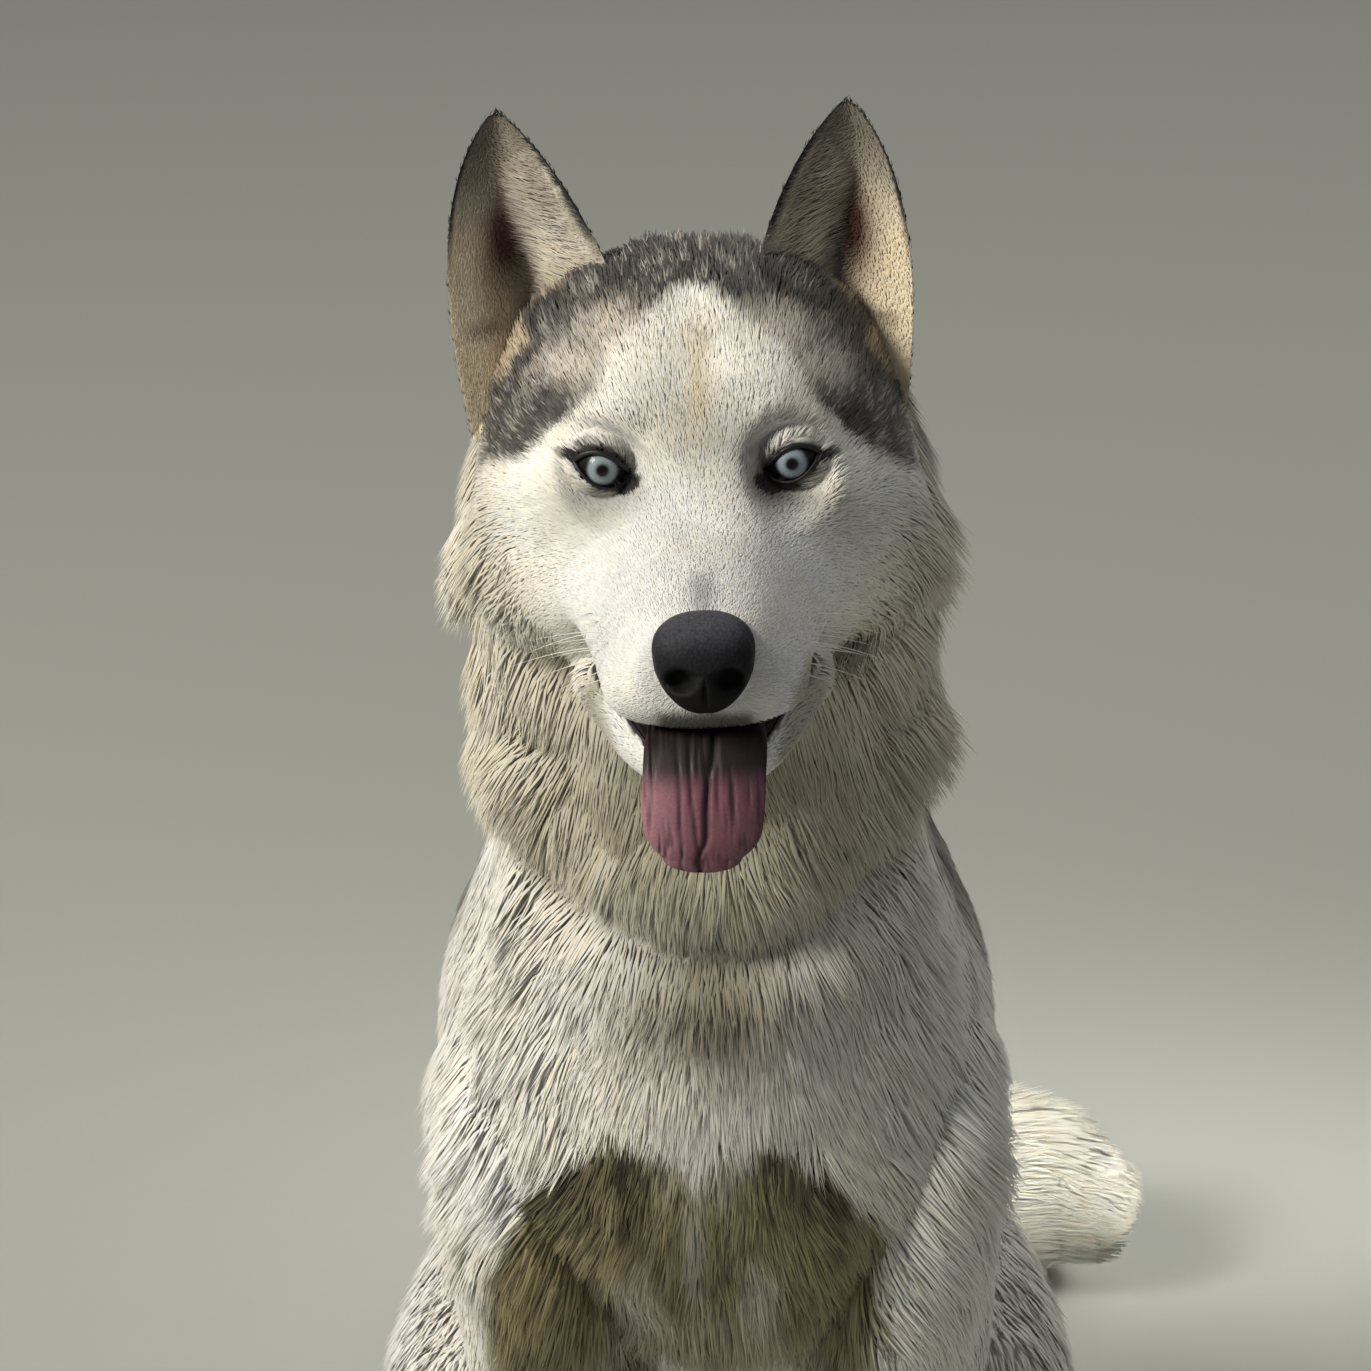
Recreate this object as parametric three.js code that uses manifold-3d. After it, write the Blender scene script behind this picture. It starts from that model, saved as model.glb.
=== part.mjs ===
// A Siberian husky that sits and faces forward with its head a little raised, its mouth open and its
// tongue out. Millimetres, +Z up, the nose towards -Y, the dog's left side towards +X. It is modelled
// life-size, as one body parted by thin cuts into the pieces that a person would name.
import * as THREE from "three";
import { mergeVertices } from "three/addons/utils/BufferGeometryUtils.js";
import Module from "manifold-3d";

const wasm = await Module();
wasm.setup();

// Driving dimensions.
const GAP = 0.3; // what touching pieces keep between them
const EYES_AT = [0, -72, 660]; // the point midway between the eyes, over the forefeet
const HEAD_PITCH = -8; // degrees: the nose is raised
const EYE_RADIUS = 10.8;
const EYE_APART = 34.5; // from the middle line to an eye's centre
const EYE_DEPTH = 6; // an eye's centre behind the point midway between the eyes
const LID_THICKNESS = 2.2;
const CLAW_LENGTH = 13;
const EAR_SKIN = 4.4; // thickness of an ear in the middle of its back
const EAR_LEAN = -5; // both tips lean to the right
const EAR_CUP = 0.36; // depth of the cup, in chords of the ear
const LOCK_THICKNESS = 4.2;
const LOCK_SINK = 7; // how deep a lock's root lies under the core

// Cutting planes between head, neck and torso: a point and the direction towards the head.
const NAPE_CUT = { at: [0, -14, 640], towards: [0, -0.78, 0.62] };
const COLLAR_CUT = { at: [0, 20, 540], towards: [0, -0.7, 0.71] };

const TAIL_CUT = { at: [40, 490, 60], towards: [-0.75, -0.66, 0] };

const PAW_TOP = 48; // where a foreleg ends and its paw starts
const TOES_FROM = 135; // where a hind paw starts
const SHORT_EDGE = 0.05; // shorter edges are closed up
const FLAT_HEIGHT = 0.01; // flatter triangles are turned
const CLEANING_ROUNDS = 4;
const BLOCK_SIZE = 4000; // of the blocks that part the body
const LOCK_ROOM = 5; // what a lock's root keeps from a cut

const HIDE = { pale: 0xe4e1d8, grey: 0x77747a, white: 0xf0eee8 };

// The sections of a lock, as shares of its length, width, thickness and lift off the core.
const LOCK_SECTIONS = [
  { at: 0, wide: 0.8, thick: 1, lift: null },
  { at: 0.34, wide: 1, thick: 1, lift: 0.45 },
  { at: 0.68, wide: 0.66, thick: 0.8, lift: 0.85 },
];
const LOCK_TIP_LIFT = 1.15;
const EDGE_GROWTH = 6; // a thin edge moves out this much more than a face when a lock is grown

// Rows of locks: their place along a loft, how much the row drops in front, the angles it spans in
// degrees (-90 is the front or underside), and the count, length, width and lift of its locks.
const RUFF_ROWS = [
  { s: 15.2, tilt: 1.3, span: [25, 155], count: 5, length: 60, width: 36, lift: 8 },
  { s: 14.3, tilt: 2.2, span: [-90, 270], count: 13, length: 68, width: 37, lift: 8 },
  { s: 13.3, tilt: 2.2, span: [-90, 270], count: 13, length: 72, width: 39, lift: 8 },
  { s: 12.2, tilt: 2.2, span: [-90, 270], count: 13, length: 72, width: 41, lift: 7 },
  { s: 11.1, tilt: 2.2, span: [-90, 270], count: 13, length: 70, width: 43, lift: 6 },
  { s: 10.0, tilt: 2.2, span: [-142, -38], count: 6, length: 66, width: 36, lift: 6 },
  { s: 9.7, tilt: 2.2, span: [26, 154], count: 5, length: 78, width: 46, lift: 6 },
  { s: 8.9, tilt: 2.2, span: [-124, -56], count: 4, length: 62, width: 32, lift: 6 },
  { s: 8.1, tilt: 2.2, span: [24, 156], count: 5, length: 78, width: 46, lift: 6 },
  { s: 6.5, tilt: 2.2, span: [30, 150], count: 5, length: 76, width: 42, lift: 6 },
  { s: 4.9, tilt: 1.9, span: [26, 154], count: 5, length: 76, width: 40, lift: 6 },
  { s: 3.1, tilt: 1.4, span: [32, 148], count: 5, length: 72, width: 38, lift: 7 },
];
const BRUSH_ROWS = [
  { s: 0.6, tilt: 0, span: [0, 360], count: 6, length: 58, width: 28, lift: 9 },
  { s: 1.5, tilt: 0, span: [0, 360], count: 6, length: 64, width: 34, lift: 10 },
  { s: 2.4, tilt: 0, span: [0, 360], count: 7, length: 66, width: 35, lift: 11 },
  { s: 3.4, tilt: 0, span: [0, 360], count: 7, length: 64, width: 35, lift: 12 },
  { s: 4.5, tilt: 0, span: [0, 360], count: 6, length: 54, width: 32, lift: 10 },
];
const BREECH_ROWS = [
  { s: 2.3, tilt: 0, span: [-50, 30], count: 3, length: 50, width: 34, lift: 7 },
  { s: 1.1, tilt: 0, span: [-50, 30], count: 3, length: 52, width: 34, lift: 8 },
];
const CHEEK_ROWS = [
  { s: 6.5, tilt: 0, span: [-64, -6], count: 3, length: 42, width: 24, lift: 5 },
  { s: 7.2, tilt: 0, span: [-56, 4], count: 2, length: 46, width: 28, lift: 7 },
];

// Small helpers for numbers, vectors and solids.
const vec = (p) => new THREE.Vector3(...p);
const mixed = (a, b, t) => a + (b - a) * t;

function seededRandom(seed) {
  let state = seed;
  return () => {
    state = (state * 1664525 + 1013904223) % 4294967296;
    return state / 4294967296;
  };
}

// A smooth value at place s along a list, by Catmull-Rom.
function smoothAt(list, s) {
  const last = list.length - 1;
  const i = Math.min(Math.max(Math.floor(s), 0), last - 1);
  const t = s - i;
  const [a, b] = [list[i], list[i + 1]];
  const before = i > 0 ? list[i - 1] : 2 * a - b;
  const after = i + 1 < last ? list[i + 2] : 2 * b - a;
  const cubic = 3 * a - before - 3 * b + after;
  const square = 2 * before - 5 * a + 4 * b - after;
  return a + 0.5 * t * (b - before + t * (square + t * cubic));
}

// A closed geometry as a solid with its faces outwards.
function solidOf(geometry) {
  const bare = geometry.index ? geometry.toNonIndexed() : geometry.clone();
  for (const name of Object.keys(bare.attributes))
    if (name !== "position") bare.deleteAttribute(name);
  const merged = mergeVertices(bare, 1e-3);
  const triVerts = new Uint32Array(merged.index.array);
  const vertProperties = merged.attributes.position.array;
  const make = () => new wasm.Manifold(new wasm.Mesh({ numProp: 3, vertProperties, triVerts }));
  const solid = make();
  if (solid.volume() > 0) return solid;
  for (let i = 0; i < triVerts.length; i += 3)
    [triVerts[i + 1], triVerts[i + 2]] = [triVerts[i + 2], triVerts[i + 1]];
  return make();
}

const join = (solids) => solids.reduce((whole, piece) => whole.add(piece));
const cut = (solid, ...tools) => tools.reduce((left, tool) => left.subtract(tool), solid);

// The largest closed surface of a solid, so that sealed hollows and loose scraps go.
function largest(solid) {
  const pieces = solid.decompose();
  return pieces.reduce((best, piece) => (piece.volume() > best.volume() ? piece : best));
}

// The corners and faces of a solid.
function listsOf(solid) {
  const mesh = solid.getMesh();
  const places = [];
  for (let i = 0; i < mesh.numVert; i++)
    places.push(new THREE.Vector3().fromArray(mesh.vertProperties, i * mesh.numProp));
  const faces = [];
  for (let i = 0; i < mesh.triVerts.length; i += 3) faces.push([...mesh.triVerts.slice(i, i + 3)]);
  return { places, faces };
}

// Closes up edges shorter than SHORT_EDGE, one in a neighbourhood at a time. An edge whose
// ends share more than the two corners beside it stays, so no two sheets are pinched together.
function closeShortEdges({ places, faces }) {
  const around = places.map(() => new Set());
  for (const face of faces)
    for (const a of face) for (const b of face) if (a !== b) around[a].add(b);
  const stands = places.map((_, i) => i);
  const touched = new Set();
  for (const face of faces)
    face.forEach((a, k) => {
      const b = face[(k + 1) % 3];
      if (places[a].distanceTo(places[b]) > SHORT_EDGE) return;
      const ring = new Set([...around[a], ...around[b]]);
      const shared = [...around[a]].filter((i) => around[b].has(i));
      if (shared.length !== 2 || [...ring].some((i) => touched.has(i))) return;
      for (const i of ring) touched.add(i);
      stands[b] = a;
    });
  const kept = faces.map((face) => face.map((i) => stands[i]));
  return kept.filter(([a, b, c]) => a !== b && b !== c && c !== a);
}

// Turns the longest edge of each flat triangle, so that its middle corner joins the next triangle.
function turnLongEdges({ places, faces }) {
  const owner = new Map();
  faces.forEach((face, f) => face.forEach((a, k) => owner.set(a + "," + face[(k + 1) % 3], f)));
  const touched = new Set();
  faces.forEach((face, f) => {
    const lengths = face.map((a, k) => places[a].distanceTo(places[face[(k + 1) % 3]]));
    const k = lengths.indexOf(Math.max(...lengths));
    const [a, b, c] = [face[k], face[(k + 1) % 3], face[(k + 2) % 3]];
    const triangle = new THREE.Triangle(places[a], places[b], places[c]);
    if ((2 * triangle.getArea()) / lengths[k] > FLAT_HEIGHT) return;
    const other = owner.get(b + "," + a);
    if (other === undefined || touched.has(f) || touched.has(other)) return;
    const d = faces[other].find((i) => i !== a && i !== b);
    if (owner.has(c + "," + d) || owner.has(d + "," + c)) return;
    for (const i of [f, other]) touched.add(i);
    faces[f] = [c, a, d];
    faces[other] = [c, d, b];
  });
  return faces;
}

function fromLists({ places, faces }) {
  const geometry = new THREE.BufferGeometry().setFromPoints(places).setIndex(faces.flat());
  geometry.computeVertexNormals();
  return geometry;
}

// The largest closed surface of a solid, without the needles that cuts leave.
function clean(solid) {
  const lists = listsOf(largest(solid));
  for (let round = 0; round < CLEANING_ROUNDS; round++) {
    lists.faces = closeShortEdges(lists);
    lists.faces = turnLongEdges(lists);
  }
  return fromLists(lists);
}

// A block that fills everything beyond a plane, in the direction of its normal.
function beyond(at, towards, clear = 0) {
  const normal = vec(towards).normalize();
  const turn = new THREE.Quaternion().setFromUnitVectors(new THREE.Vector3(0, 0, 1), normal);
  const centre = vec(at).addScaledVector(normal, BLOCK_SIZE / 2 + clear);
  const block = new THREE.BoxGeometry(BLOCK_SIZE, BLOCK_SIZE, BLOCK_SIZE);
  return solidOf(block.applyQuaternion(turn).translate(centre.x, centre.y, centre.z));
}

function ellipsoid(at, half, { turn = [0, 0, 0], detail = [16, 12] } = {}) {
  const ball = new THREE.SphereGeometry(1, ...detail);
  ball.rotateX(Math.PI / 2).scale(...half);
  ball.applyQuaternion(new THREE.Quaternion().setFromEuler(new THREE.Euler(...turn)));
  return ball.translate(...at);
}

// The head's own frame: its origin is midway between the eyes.
const headPose = new THREE.Matrix4()
  .makeTranslation(...EYES_AT)
  .multiply(new THREE.Matrix4().makeRotationX(THREE.MathUtils.degToRad(HEAD_PITCH)));

// A limb or a trunk: rounded rings along a line of stations, with a dome at each end. A station has
// its centre, its two half sizes, how square its ring is and how much the ring narrows towards +v.
class Loft {
  constructor({ stations, sides, steps, side = [1, 0, 0], level = null, domes = [1, 1], bulges = [] }) {
    Object.assign(this, { stations, sides, steps, domes, bulges });
    this.side = vec(side).normalize();
    this.level = level && vec(level);
    this.last = stations.length - 1;
  }

  value(read, s) {
    return smoothAt(this.stations.map(read), s);
  }

  frame(s) {
    const within = Math.min(Math.max(s, 0), this.last);
    const centre = (t) => new THREE.Vector3(...[0, 1, 2].map((k) => this.value((o) => o.at[k], t)));
    const along = centre(Math.min(within + 0.05, this.last)).sub(centre(Math.max(within - 0.05, 0)));
    along.normalize();
    const v = this.level ? this.level.clone() : along.clone().cross(this.side).normalize();
    const u = this.level ? this.side : v.clone().cross(along).normalize();
    return { centre: centre(within), along, u, v, within };
  }

  // The point of the surface at station s and angle, raised by lift.
  point(s, angle, lift = 0) {
    const { centre, along, u, v, within } = this.frame(s);
    const out = s < 0 ? -s : Math.max(s - this.last, 0);
    const shrink = Math.sqrt(Math.max(1 - out * out, 0));
    const [du, dv] = [0, 1].map((k) => this.value((o) => o.half[k], within));
    const power = 2 / this.value((o) => o.square ?? 2, within);
    const taper = this.value((o) => o.taper ?? 0, within);
    const [c, d] = [Math.cos(angle), Math.sin(angle)];
    const x = (du * shrink + lift) * Math.sign(c) * Math.abs(c) ** power * (1 - taper * d);
    const y = (dv * shrink + lift) * Math.sign(d) * Math.abs(d) ** power;
    const dome = s < 0 ? -out * this.domes[0] : out * this.domes[1];
    const place = centre.addScaledVector(u, x).addScaledVector(v, y).addScaledVector(along, dome);
    return this.bulged(place);
  }

  // Each bulge pushes the surface about its place, on both sides of the middle line.
  bulged(place) {
    const moved = place.clone();
    for (const { at, reach, push } of this.bulges)
      for (const mirror of at[0] ? [1, -1] : [1]) {
        const from = new THREE.Vector3(at[0] * mirror, at[1], at[2]);
        const share = Math.exp(-place.distanceToSquared(from) / reach ** 2);
        moved.add(new THREE.Vector3(push[0] * mirror, push[1], push[2]).multiplyScalar(share));
      }
    return moved;
  }

  // The closed surface, its vertices moved outwards by grow.
  geometry(grow = 0) {
    const { sides, steps, last } = this;
    const places = [];
    const rings = [-0.7];
    for (let i = 0; i <= steps; i++) rings.push((i * last) / steps);
    rings.push(last + 0.7);
    const poles = [this.point(-1, 0), this.point(last + 1, 0)];
    for (const s of rings)
      for (let k = 0; k < sides; k++) places.push(this.point(s, (2 * Math.PI * k) / sides));
    const index = [];
    const at = (ring, k) => ring * sides + (k % sides);
    for (let r = 0; r + 1 < rings.length; r++)
      for (let k = 0; k < sides; k++) {
        index.push(at(r, k), at(r, k + 1), at(r + 1, k));
        index.push(at(r + 1, k), at(r, k + 1), at(r + 1, k + 1));
      }
    const [first, second] = [places.length, places.length + 1];
    places.push(...poles);
    for (let k = 0; k < sides; k++) {
      index.push(first, at(0, k + 1), at(0, k));
      index.push(second, at(rings.length - 1, k), at(rings.length - 1, k + 1));
    }
    const geometry = new THREE.BufferGeometry().setFromPoints(places).setIndex(index);
    geometry.computeVertexNormals();
    if (!grow) return geometry;
    const { position, normal } = geometry.attributes;
    const outwards = Math.sign(solidOf(geometry).volume()) * facing(geometry);
    places.forEach((p, i) => {
      const n = new THREE.Vector3().fromBufferAttribute(normal, i);
      p.addScaledVector(n, grow * outwards);
      position.setXYZ(i, p.x, p.y, p.z);
    });
    return geometry;
  }

  solid(grow = 0, pose = null) {
    const geometry = this.geometry(grow);
    return solidOf(pose ? geometry.applyMatrix4(pose) : geometry);
  }
}

// One lock: a flat blade that follows a loft's surface along its lie and tapers to its tip.
function lock(loft, { s, angle, heading, sway, length, width, lift, flow }, grow = 0) {
  const span = (ds, da) => loft.point(s + ds, angle + da).distanceTo(loft.point(s - ds, angle - da));
  const [alongRate, roundRate] = [span(0.1, 0) / 0.2, span(0, 0.05) / 0.1];
  const place = (t, raise) => {
    const way = heading + sway * t;
    const ds = (flow * length * t * Math.cos(way)) / alongRate;
    const da = (length * t * Math.sin(way)) / roundRate;
    return loft.point(s + ds, angle + da, raise);
  };
  const places = [];
  for (const section of LOCK_SECTIONS) {
    const raise = section.lift === null ? -LOCK_SINK : lift * section.lift;
    const centre = place(section.at, raise);
    const along = place(section.at + 0.05, raise).sub(place(section.at - 0.05, raise)).normalize();
    const out = place(section.at, raise + 1).sub(centre);
    const across = along.clone().cross(out).normalize();
    const up = across.clone().cross(along);
    const half = (width * section.wide) / 2;
    const thick = (LOCK_THICKNESS * section.thick) / 2;
    const edge = half + grow * EDGE_GROWTH;
    for (const [a, b] of [[edge, -thick - grow], [0, thick + 2 * grow], [-edge, -thick - grow]])
      places.push(centre.clone().addScaledVector(across, a).addScaledVector(up, b));
  }
  const end = place(1, lift * LOCK_TIP_LIFT);
  places.push(end.addScaledVector(end.clone().sub(place(0.9, lift)).normalize(), 2 * grow));
  const index = [0, 2, 1];
  const rings = LOCK_SECTIONS.length;
  for (let ring = 0; ring < rings; ring++)
    for (let k = 0; k < 3; k++) {
      const [a, b] = [ring * 3 + k, ring * 3 + ((k + 1) % 3)];
      if (ring === rings - 1) index.push(a, b, rings * 3);
      else index.push(a, b, a + 3, b, b + 3, a + 3);
    }
  return new THREE.BufferGeometry().setFromPoints(places).setIndex(index);
}

// The locks of some rows, each varied a little in place, length and direction.
function rowsOfLocks(rows, { seed, flow = -1, heading = 0, mirror = false }) {
  const draw = seededRandom(seed);
  const vary = (by) => (draw() - 0.5) * 2 * by;
  const locks = [];
  rows.forEach((row, r) => {
    const [from, to] = row.span;
    const closed = to - from === 360;
    const step = (to - from) / (closed ? row.count : Math.max(row.count - 1, 1));
    for (let k = 0; k < row.count; k++) {
      const degrees = from + step * (k + (closed ? (r % 2) / 2 : 0) + vary(0.12));
      const angle = THREE.MathUtils.degToRad(mirror ? 180 - degrees : degrees);
      locks.push({
        s: row.s + row.tilt * Math.sin(angle) + vary(0.1),
        angle,
        flow,
        heading: (mirror ? -heading : heading) + vary(0.16),
        sway: vary(0.3),
        length: row.length * (1 + vary(0.12)),
        width: row.width * (1 + vary(0.1)),
        lift: row.lift * (1 + vary(0.18)),
      });
    }
  });
  return locks;
}

// 1 where a geometry's normals point out of it, -1 where they point in.
function facing(geometry) {
  const { position, normal } = geometry.attributes;
  const middle = new THREE.Box3().setFromBufferAttribute(position).getCenter(new THREE.Vector3());
  let sum = 0;
  for (let i = 0; i < position.count; i++) {
    const out = new THREE.Vector3().fromBufferAttribute(position, i).sub(middle);
    sum += out.dot(new THREE.Vector3().fromBufferAttribute(normal, i));
  }
  return Math.sign(sum);
}

// Stations of a trunk or a leg whose rings are level: height, front, back, half width, middle line.
const levelStations = (rows) =>
  rows.map(([z, front, back, half, x = 0, square = 2.15, taper = 0]) => ({
    at: [x, (front + back) / 2, z],
    half: [half, (back - front) / 2],
    square,
    taper,
  }));

// Stations of the head, whose rings stand across it: y, top, bottom, half width, square, taper.
const headStations = (rows) =>
  rows.map(([y, top, bottom, half, square = 2.3, taper = 0.1]) => ({
    at: [0, y, (top + bottom) / 2],
    half: [half, (top - bottom) / 2],
    square,
    taper,
  }));

// The core of torso and neck, from the rump on the floor to the nape.
const trunk = new Loft({
  level: [0, 1, 0],
  sides: 18,
  steps: 18,
  domes: [10, 9],
  stations: levelStations([
    [-14, 300, 386, 56],
    [25, 258, 404, 74],
    [75, 216, 410, 82],
    [130, 170, 406, 87],
    [185, 112, 390, 93],
    [235, 42, 366, 102],
    [280, -22, 336, 105],
    [320, -58, 302, 109],
    [360, -76, 264, 113],
    [400, -82, 224, 108],
    [440, -78, 184, 96],
    [480, -67, 152, 86],
    [520, -58, 132, 87],
    [560, -51, 118, 92],
    [600, -42, 108, 93],
    [636, -27, 98, 84],
    [664, -6, 86, 68],
    [684, 14, 72, 46],
  ]),
});

const skull = new Loft({
  level: [0, 0, 1],
  sides: 22,
  steps: 20,
  domes: [4, 12],
  stations: headStations([
    [-104, -32, -70, 25, 2.5, 0.1],
    [-92, -24, -76, 31, 2.5, 0.18],
    [-75, -18, -75, 36, 2.5, 0.26],
    [-55, -14, -68, 40, 2.5, 0.3],
    [-35, -8, -62, 46, 2.4, 0.3],
    [-18, 2, -64, 53, 2.3, 0.25],
    [0, 23, -74, 62, 2.3, 0.18],
    [22, 48, -86, 72, 2.2, 0.1],
    [45, 64, -92, 78, 2.2, 0.08],
    [70, 71, -92, 81, 2.2, 0.05],
    [95, 63, -85, 78, 2.2, 0.05],
    [118, 42, -72, 66, 2.2, 0.05],
  ]),
  bulges: [
    { at: [31, -14, -2], reach: 13, push: [0, 7, -1] }, // eye socket
    { at: [30, -4, 20], reach: 14, push: [0, -4, 2] }, // brow
    { at: [0, 8, 34], reach: 12, push: [0, 3, -3] }, // furrow of the forehead
    { at: [62, 40, -30], reach: 30, push: [4, 0, 0] }, // cheek
    { at: [30, -86, -62], reach: 14, push: [2.5, 0, -1.5] }, // lip over the canine tooth
  ],
});

const lowerJaw = new Loft({
  level: [0, 0, 1],
  sides: 12,
  steps: 7,
  domes: [4, 8],
  stations: headStations([
    [-92, -85, -96, 13, 2.3, 0],
    [-82, -82, -103, 20, 2.4, -0.1],
    [-64, -76, -106, 27, 2.5, -0.12],
    [-44, -67, -107, 35, 2.5, -0.12],
    [-24, -62, -105, 41, 2.4, -0.1],
    [0, -60, -102, 46, 2.3, 0],
    [26, -62, -98, 48, 2.3, 0],
  ]),
});

const tongue = new Loft({
  sides: 12,
  steps: 10,
  domes: [3, 7],
  stations: [
    { at: [0, -42, -74], half: [17, 5] },
    { at: [0, -62, -78], half: [20, 5] },
    { at: [0, -82, -81], half: [22, 5] },
    { at: [0, -98, -84], half: [22.5, 4.6] },
    { at: [0, -107, -92], half: [23, 4.2] },
    { at: [0, -110, -103], half: [22, 3.8] },
    { at: [0, -110, -114], half: [16, 3] },
  ],
});

const foreleg = (side) =>
  new Loft({
    level: [0, 1, 0],
    sides: 12,
    steps: 8,
    domes: [8, 14],
    stations: levelStations([
      [14, -24, 26, 23, 55 * side],
      [45, -17, 27, 24, 55 * side],
      [80, -15, 28, 25, 55 * side],
      [112, -19, 31, 27, 56 * side],
      [160, -20, 36, 28, 58 * side],
      [210, -24, 50, 35, 63 * side],
      [255, -32, 66, 39, 66 * side],
      [295, -40, 80, 41, 68 * side],
      [335, -46, 88, 41, 71 * side],
      [375, -44, 90, 39, 73 * side],
      [412, -24, 80, 27, 71 * side],
    ]),
  });

const thigh = (side) =>
  new Loft({
    sides: 12,
    steps: 8,
    domes: [22, 26],
    stations: [
      { at: [54 * side, 372, 112], half: [38, 68] },
      { at: [62 * side, 338, 118], half: [46, 98] },
      { at: [78 * side, 286, 119], half: [50, 94] },
      { at: [95 * side, 232, 122], half: [49, 78] },
      { at: [105 * side, 188, 130], half: [43, 61] },
      { at: [110 * side, 160, 135], half: [34, 45] },
    ],
  });

const shank = (side) =>
  new Loft({
    sides: 10,
    steps: 4,
    domes: [14, 12],
    stations: [
      { at: [110 * side, 180, 110], half: [30, 38] },
      { at: [113 * side, 222, 86], half: [28, 34] },
      { at: [117 * side, 266, 62], half: [24, 28] },
      { at: [119 * side, 308, 45], half: [20, 24] },
      { at: [120 * side, 334, 35], half: [18, 22] },
    ],
  });

const hindFoot = (side) =>
  new Loft({
    sides: 10,
    steps: 6,
    domes: [12, 10],
    stations: [
      { at: [119 * side, 350, 28], half: [16, 21] },
      { at: [121 * side, 318, 28], half: [20, 25] },
      { at: [124 * side, 268, 25], half: [19, 22] },
      { at: [128 * side, 214, 24], half: [20, 21] },
      { at: [132 * side, 164, 24], half: [24, 22] },
      { at: [135 * side, 132, 23], half: [28, 21] },
    ],
  });

const tail = new Loft({
  side: [0, 0, 1],
  sides: 12,
  steps: 12,
  domes: [10, 26],
  stations: [
    { at: [0, 384, 88], half: [30, 30] },
    { at: [6, 424, 74], half: [34, 34] },
    { at: [22, 470, 62], half: [40, 42] },
    { at: [54, 510, 54], half: [45, 46] },
    { at: [98, 534, 52], half: [47, 47] },
    { at: [140, 540, 50], half: [44, 44] },
    { at: [172, 530, 44], half: [34, 34] },
  ],
});

// A paw: a rounded pad with four toes, each with its claw. It points towards -Y before it is turned.
function paw({ at, turn = 0, scale = 1 }) {
  const toes = [
    { x: -25, y: -24 },
    { x: -9, y: -36 },
    { x: 9, y: -36 },
    { x: 25, y: -24 },
  ];
  const pieces = [ellipsoid([0, 4, 20], [33, 42, 25], { detail: [8, 6] })];
  for (const { x, y } of toes) {
    const spread = x * 0.006;
    pieces.push(ellipsoid([x, y, 16], [12.5, 24, 18], { turn: [0, 0, -spread], detail: [6, 4] }));
    const claw = new THREE.ConeGeometry(3.4, CLAW_LENGTH, 4).rotateX(Math.PI / 2 + 0.4);
    pieces.push(claw.translate(x * 1.12, y - 24, 10));
  }
  const place = new THREE.Matrix4()
    .makeTranslation(...at)
    .multiply(new THREE.Matrix4().makeRotationZ(turn))
    .multiply(new THREE.Matrix4().makeScale(scale, scale, scale));
  return join(pieces.map((piece) => solidOf(piece.applyMatrix4(place))));
}

// An ear: a leaf between its inner and outer edges, bent back into a cup.
function ear(side) {
  const edge = (...points) => new THREE.QuadraticBezierCurve3(...points.map(vec));
  const lean = EAR_LEAN;
  const top = 65 * side + lean;
  const innerRoot = [25 * side + lean / 2, 60, 54];
  const outerRoot = [80 * side + lean / 2, 64, -6];
  const inner = edge(innerRoot, [40 * side + lean, 62, 100], [top - 3 * side, 70, 121]);
  const outer = edge(outerRoot, [98 * side + lean, 62, 86], [top + 3 * side, 70, 121]);
  const [rows, columns] = [9, 6];
  const sheet = (face) => {
    const places = [];
    for (let i = 0; i <= rows; i++) {
      const t = i / rows;
      const [a, b] = [inner.getPoint(t), outer.getPoint(t)];
      const cup = a.distanceTo(b) * EAR_CUP;
      for (let k = 0; k <= columns; k++) {
        const across = k / columns;
        const round = 1 - (2 * across - 1) ** 2;
        const skin = mixed(1.1, EAR_SKIN * (1 - 0.5 * t), Math.sqrt(round));
        const place = a.clone().lerp(b, across);
        place.y += cup * round + (face * skin) / 2;
        places.push(place);
      }
    }
    return places;
  };
  const places = [...sheet(1), ...sheet(-1)];
  const half = (rows + 1) * (columns + 1);
  const at = (face, i, k) => face * half + i * (columns + 1) + k;
  const index = [];
  const quad = (a, b, c, d) => index.push(a, b, c, a, c, d);
  for (let i = 0; i < rows; i++)
    for (let k = 0; k < columns; k++) {
      quad(at(0, i, k), at(0, i, k + 1), at(0, i + 1, k + 1), at(0, i + 1, k));
      index.push(at(1, i, k), at(1, i + 1, k + 1), at(1, i, k + 1));
      index.push(at(1, i, k), at(1, i + 1, k), at(1, i + 1, k + 1));
    }
  for (let i = 0; i < rows; i++) {
    quad(at(0, i, 0), at(0, i + 1, 0), at(1, i + 1, 0), at(1, i, 0));
    quad(at(0, i + 1, columns), at(0, i, columns), at(1, i, columns), at(1, i + 1, columns));
  }
  for (let k = 0; k < columns; k++) {
    quad(at(0, 0, k + 1), at(0, 0, k), at(1, 0, k), at(1, 0, k + 1));
    quad(at(0, rows, k), at(0, rows, k + 1), at(1, rows, k + 1), at(1, rows, k));
  }
  const leaf = new THREE.BufferGeometry().setFromPoints(places).setIndex(index);
  return solidOf(leaf.applyMatrix4(headPose));
}

const eyeCentre = (side) => [EYE_APART * side, EYE_DEPTH, 0];

const eyeball = (side, grow = 0) => {
  const radius = EYE_RADIUS + grow;
  const ball = ellipsoid(eyeCentre(side), [radius, radius, radius], { detail: [12, 10] });
  return solidOf(ball.applyMatrix4(headPose));
};

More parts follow.
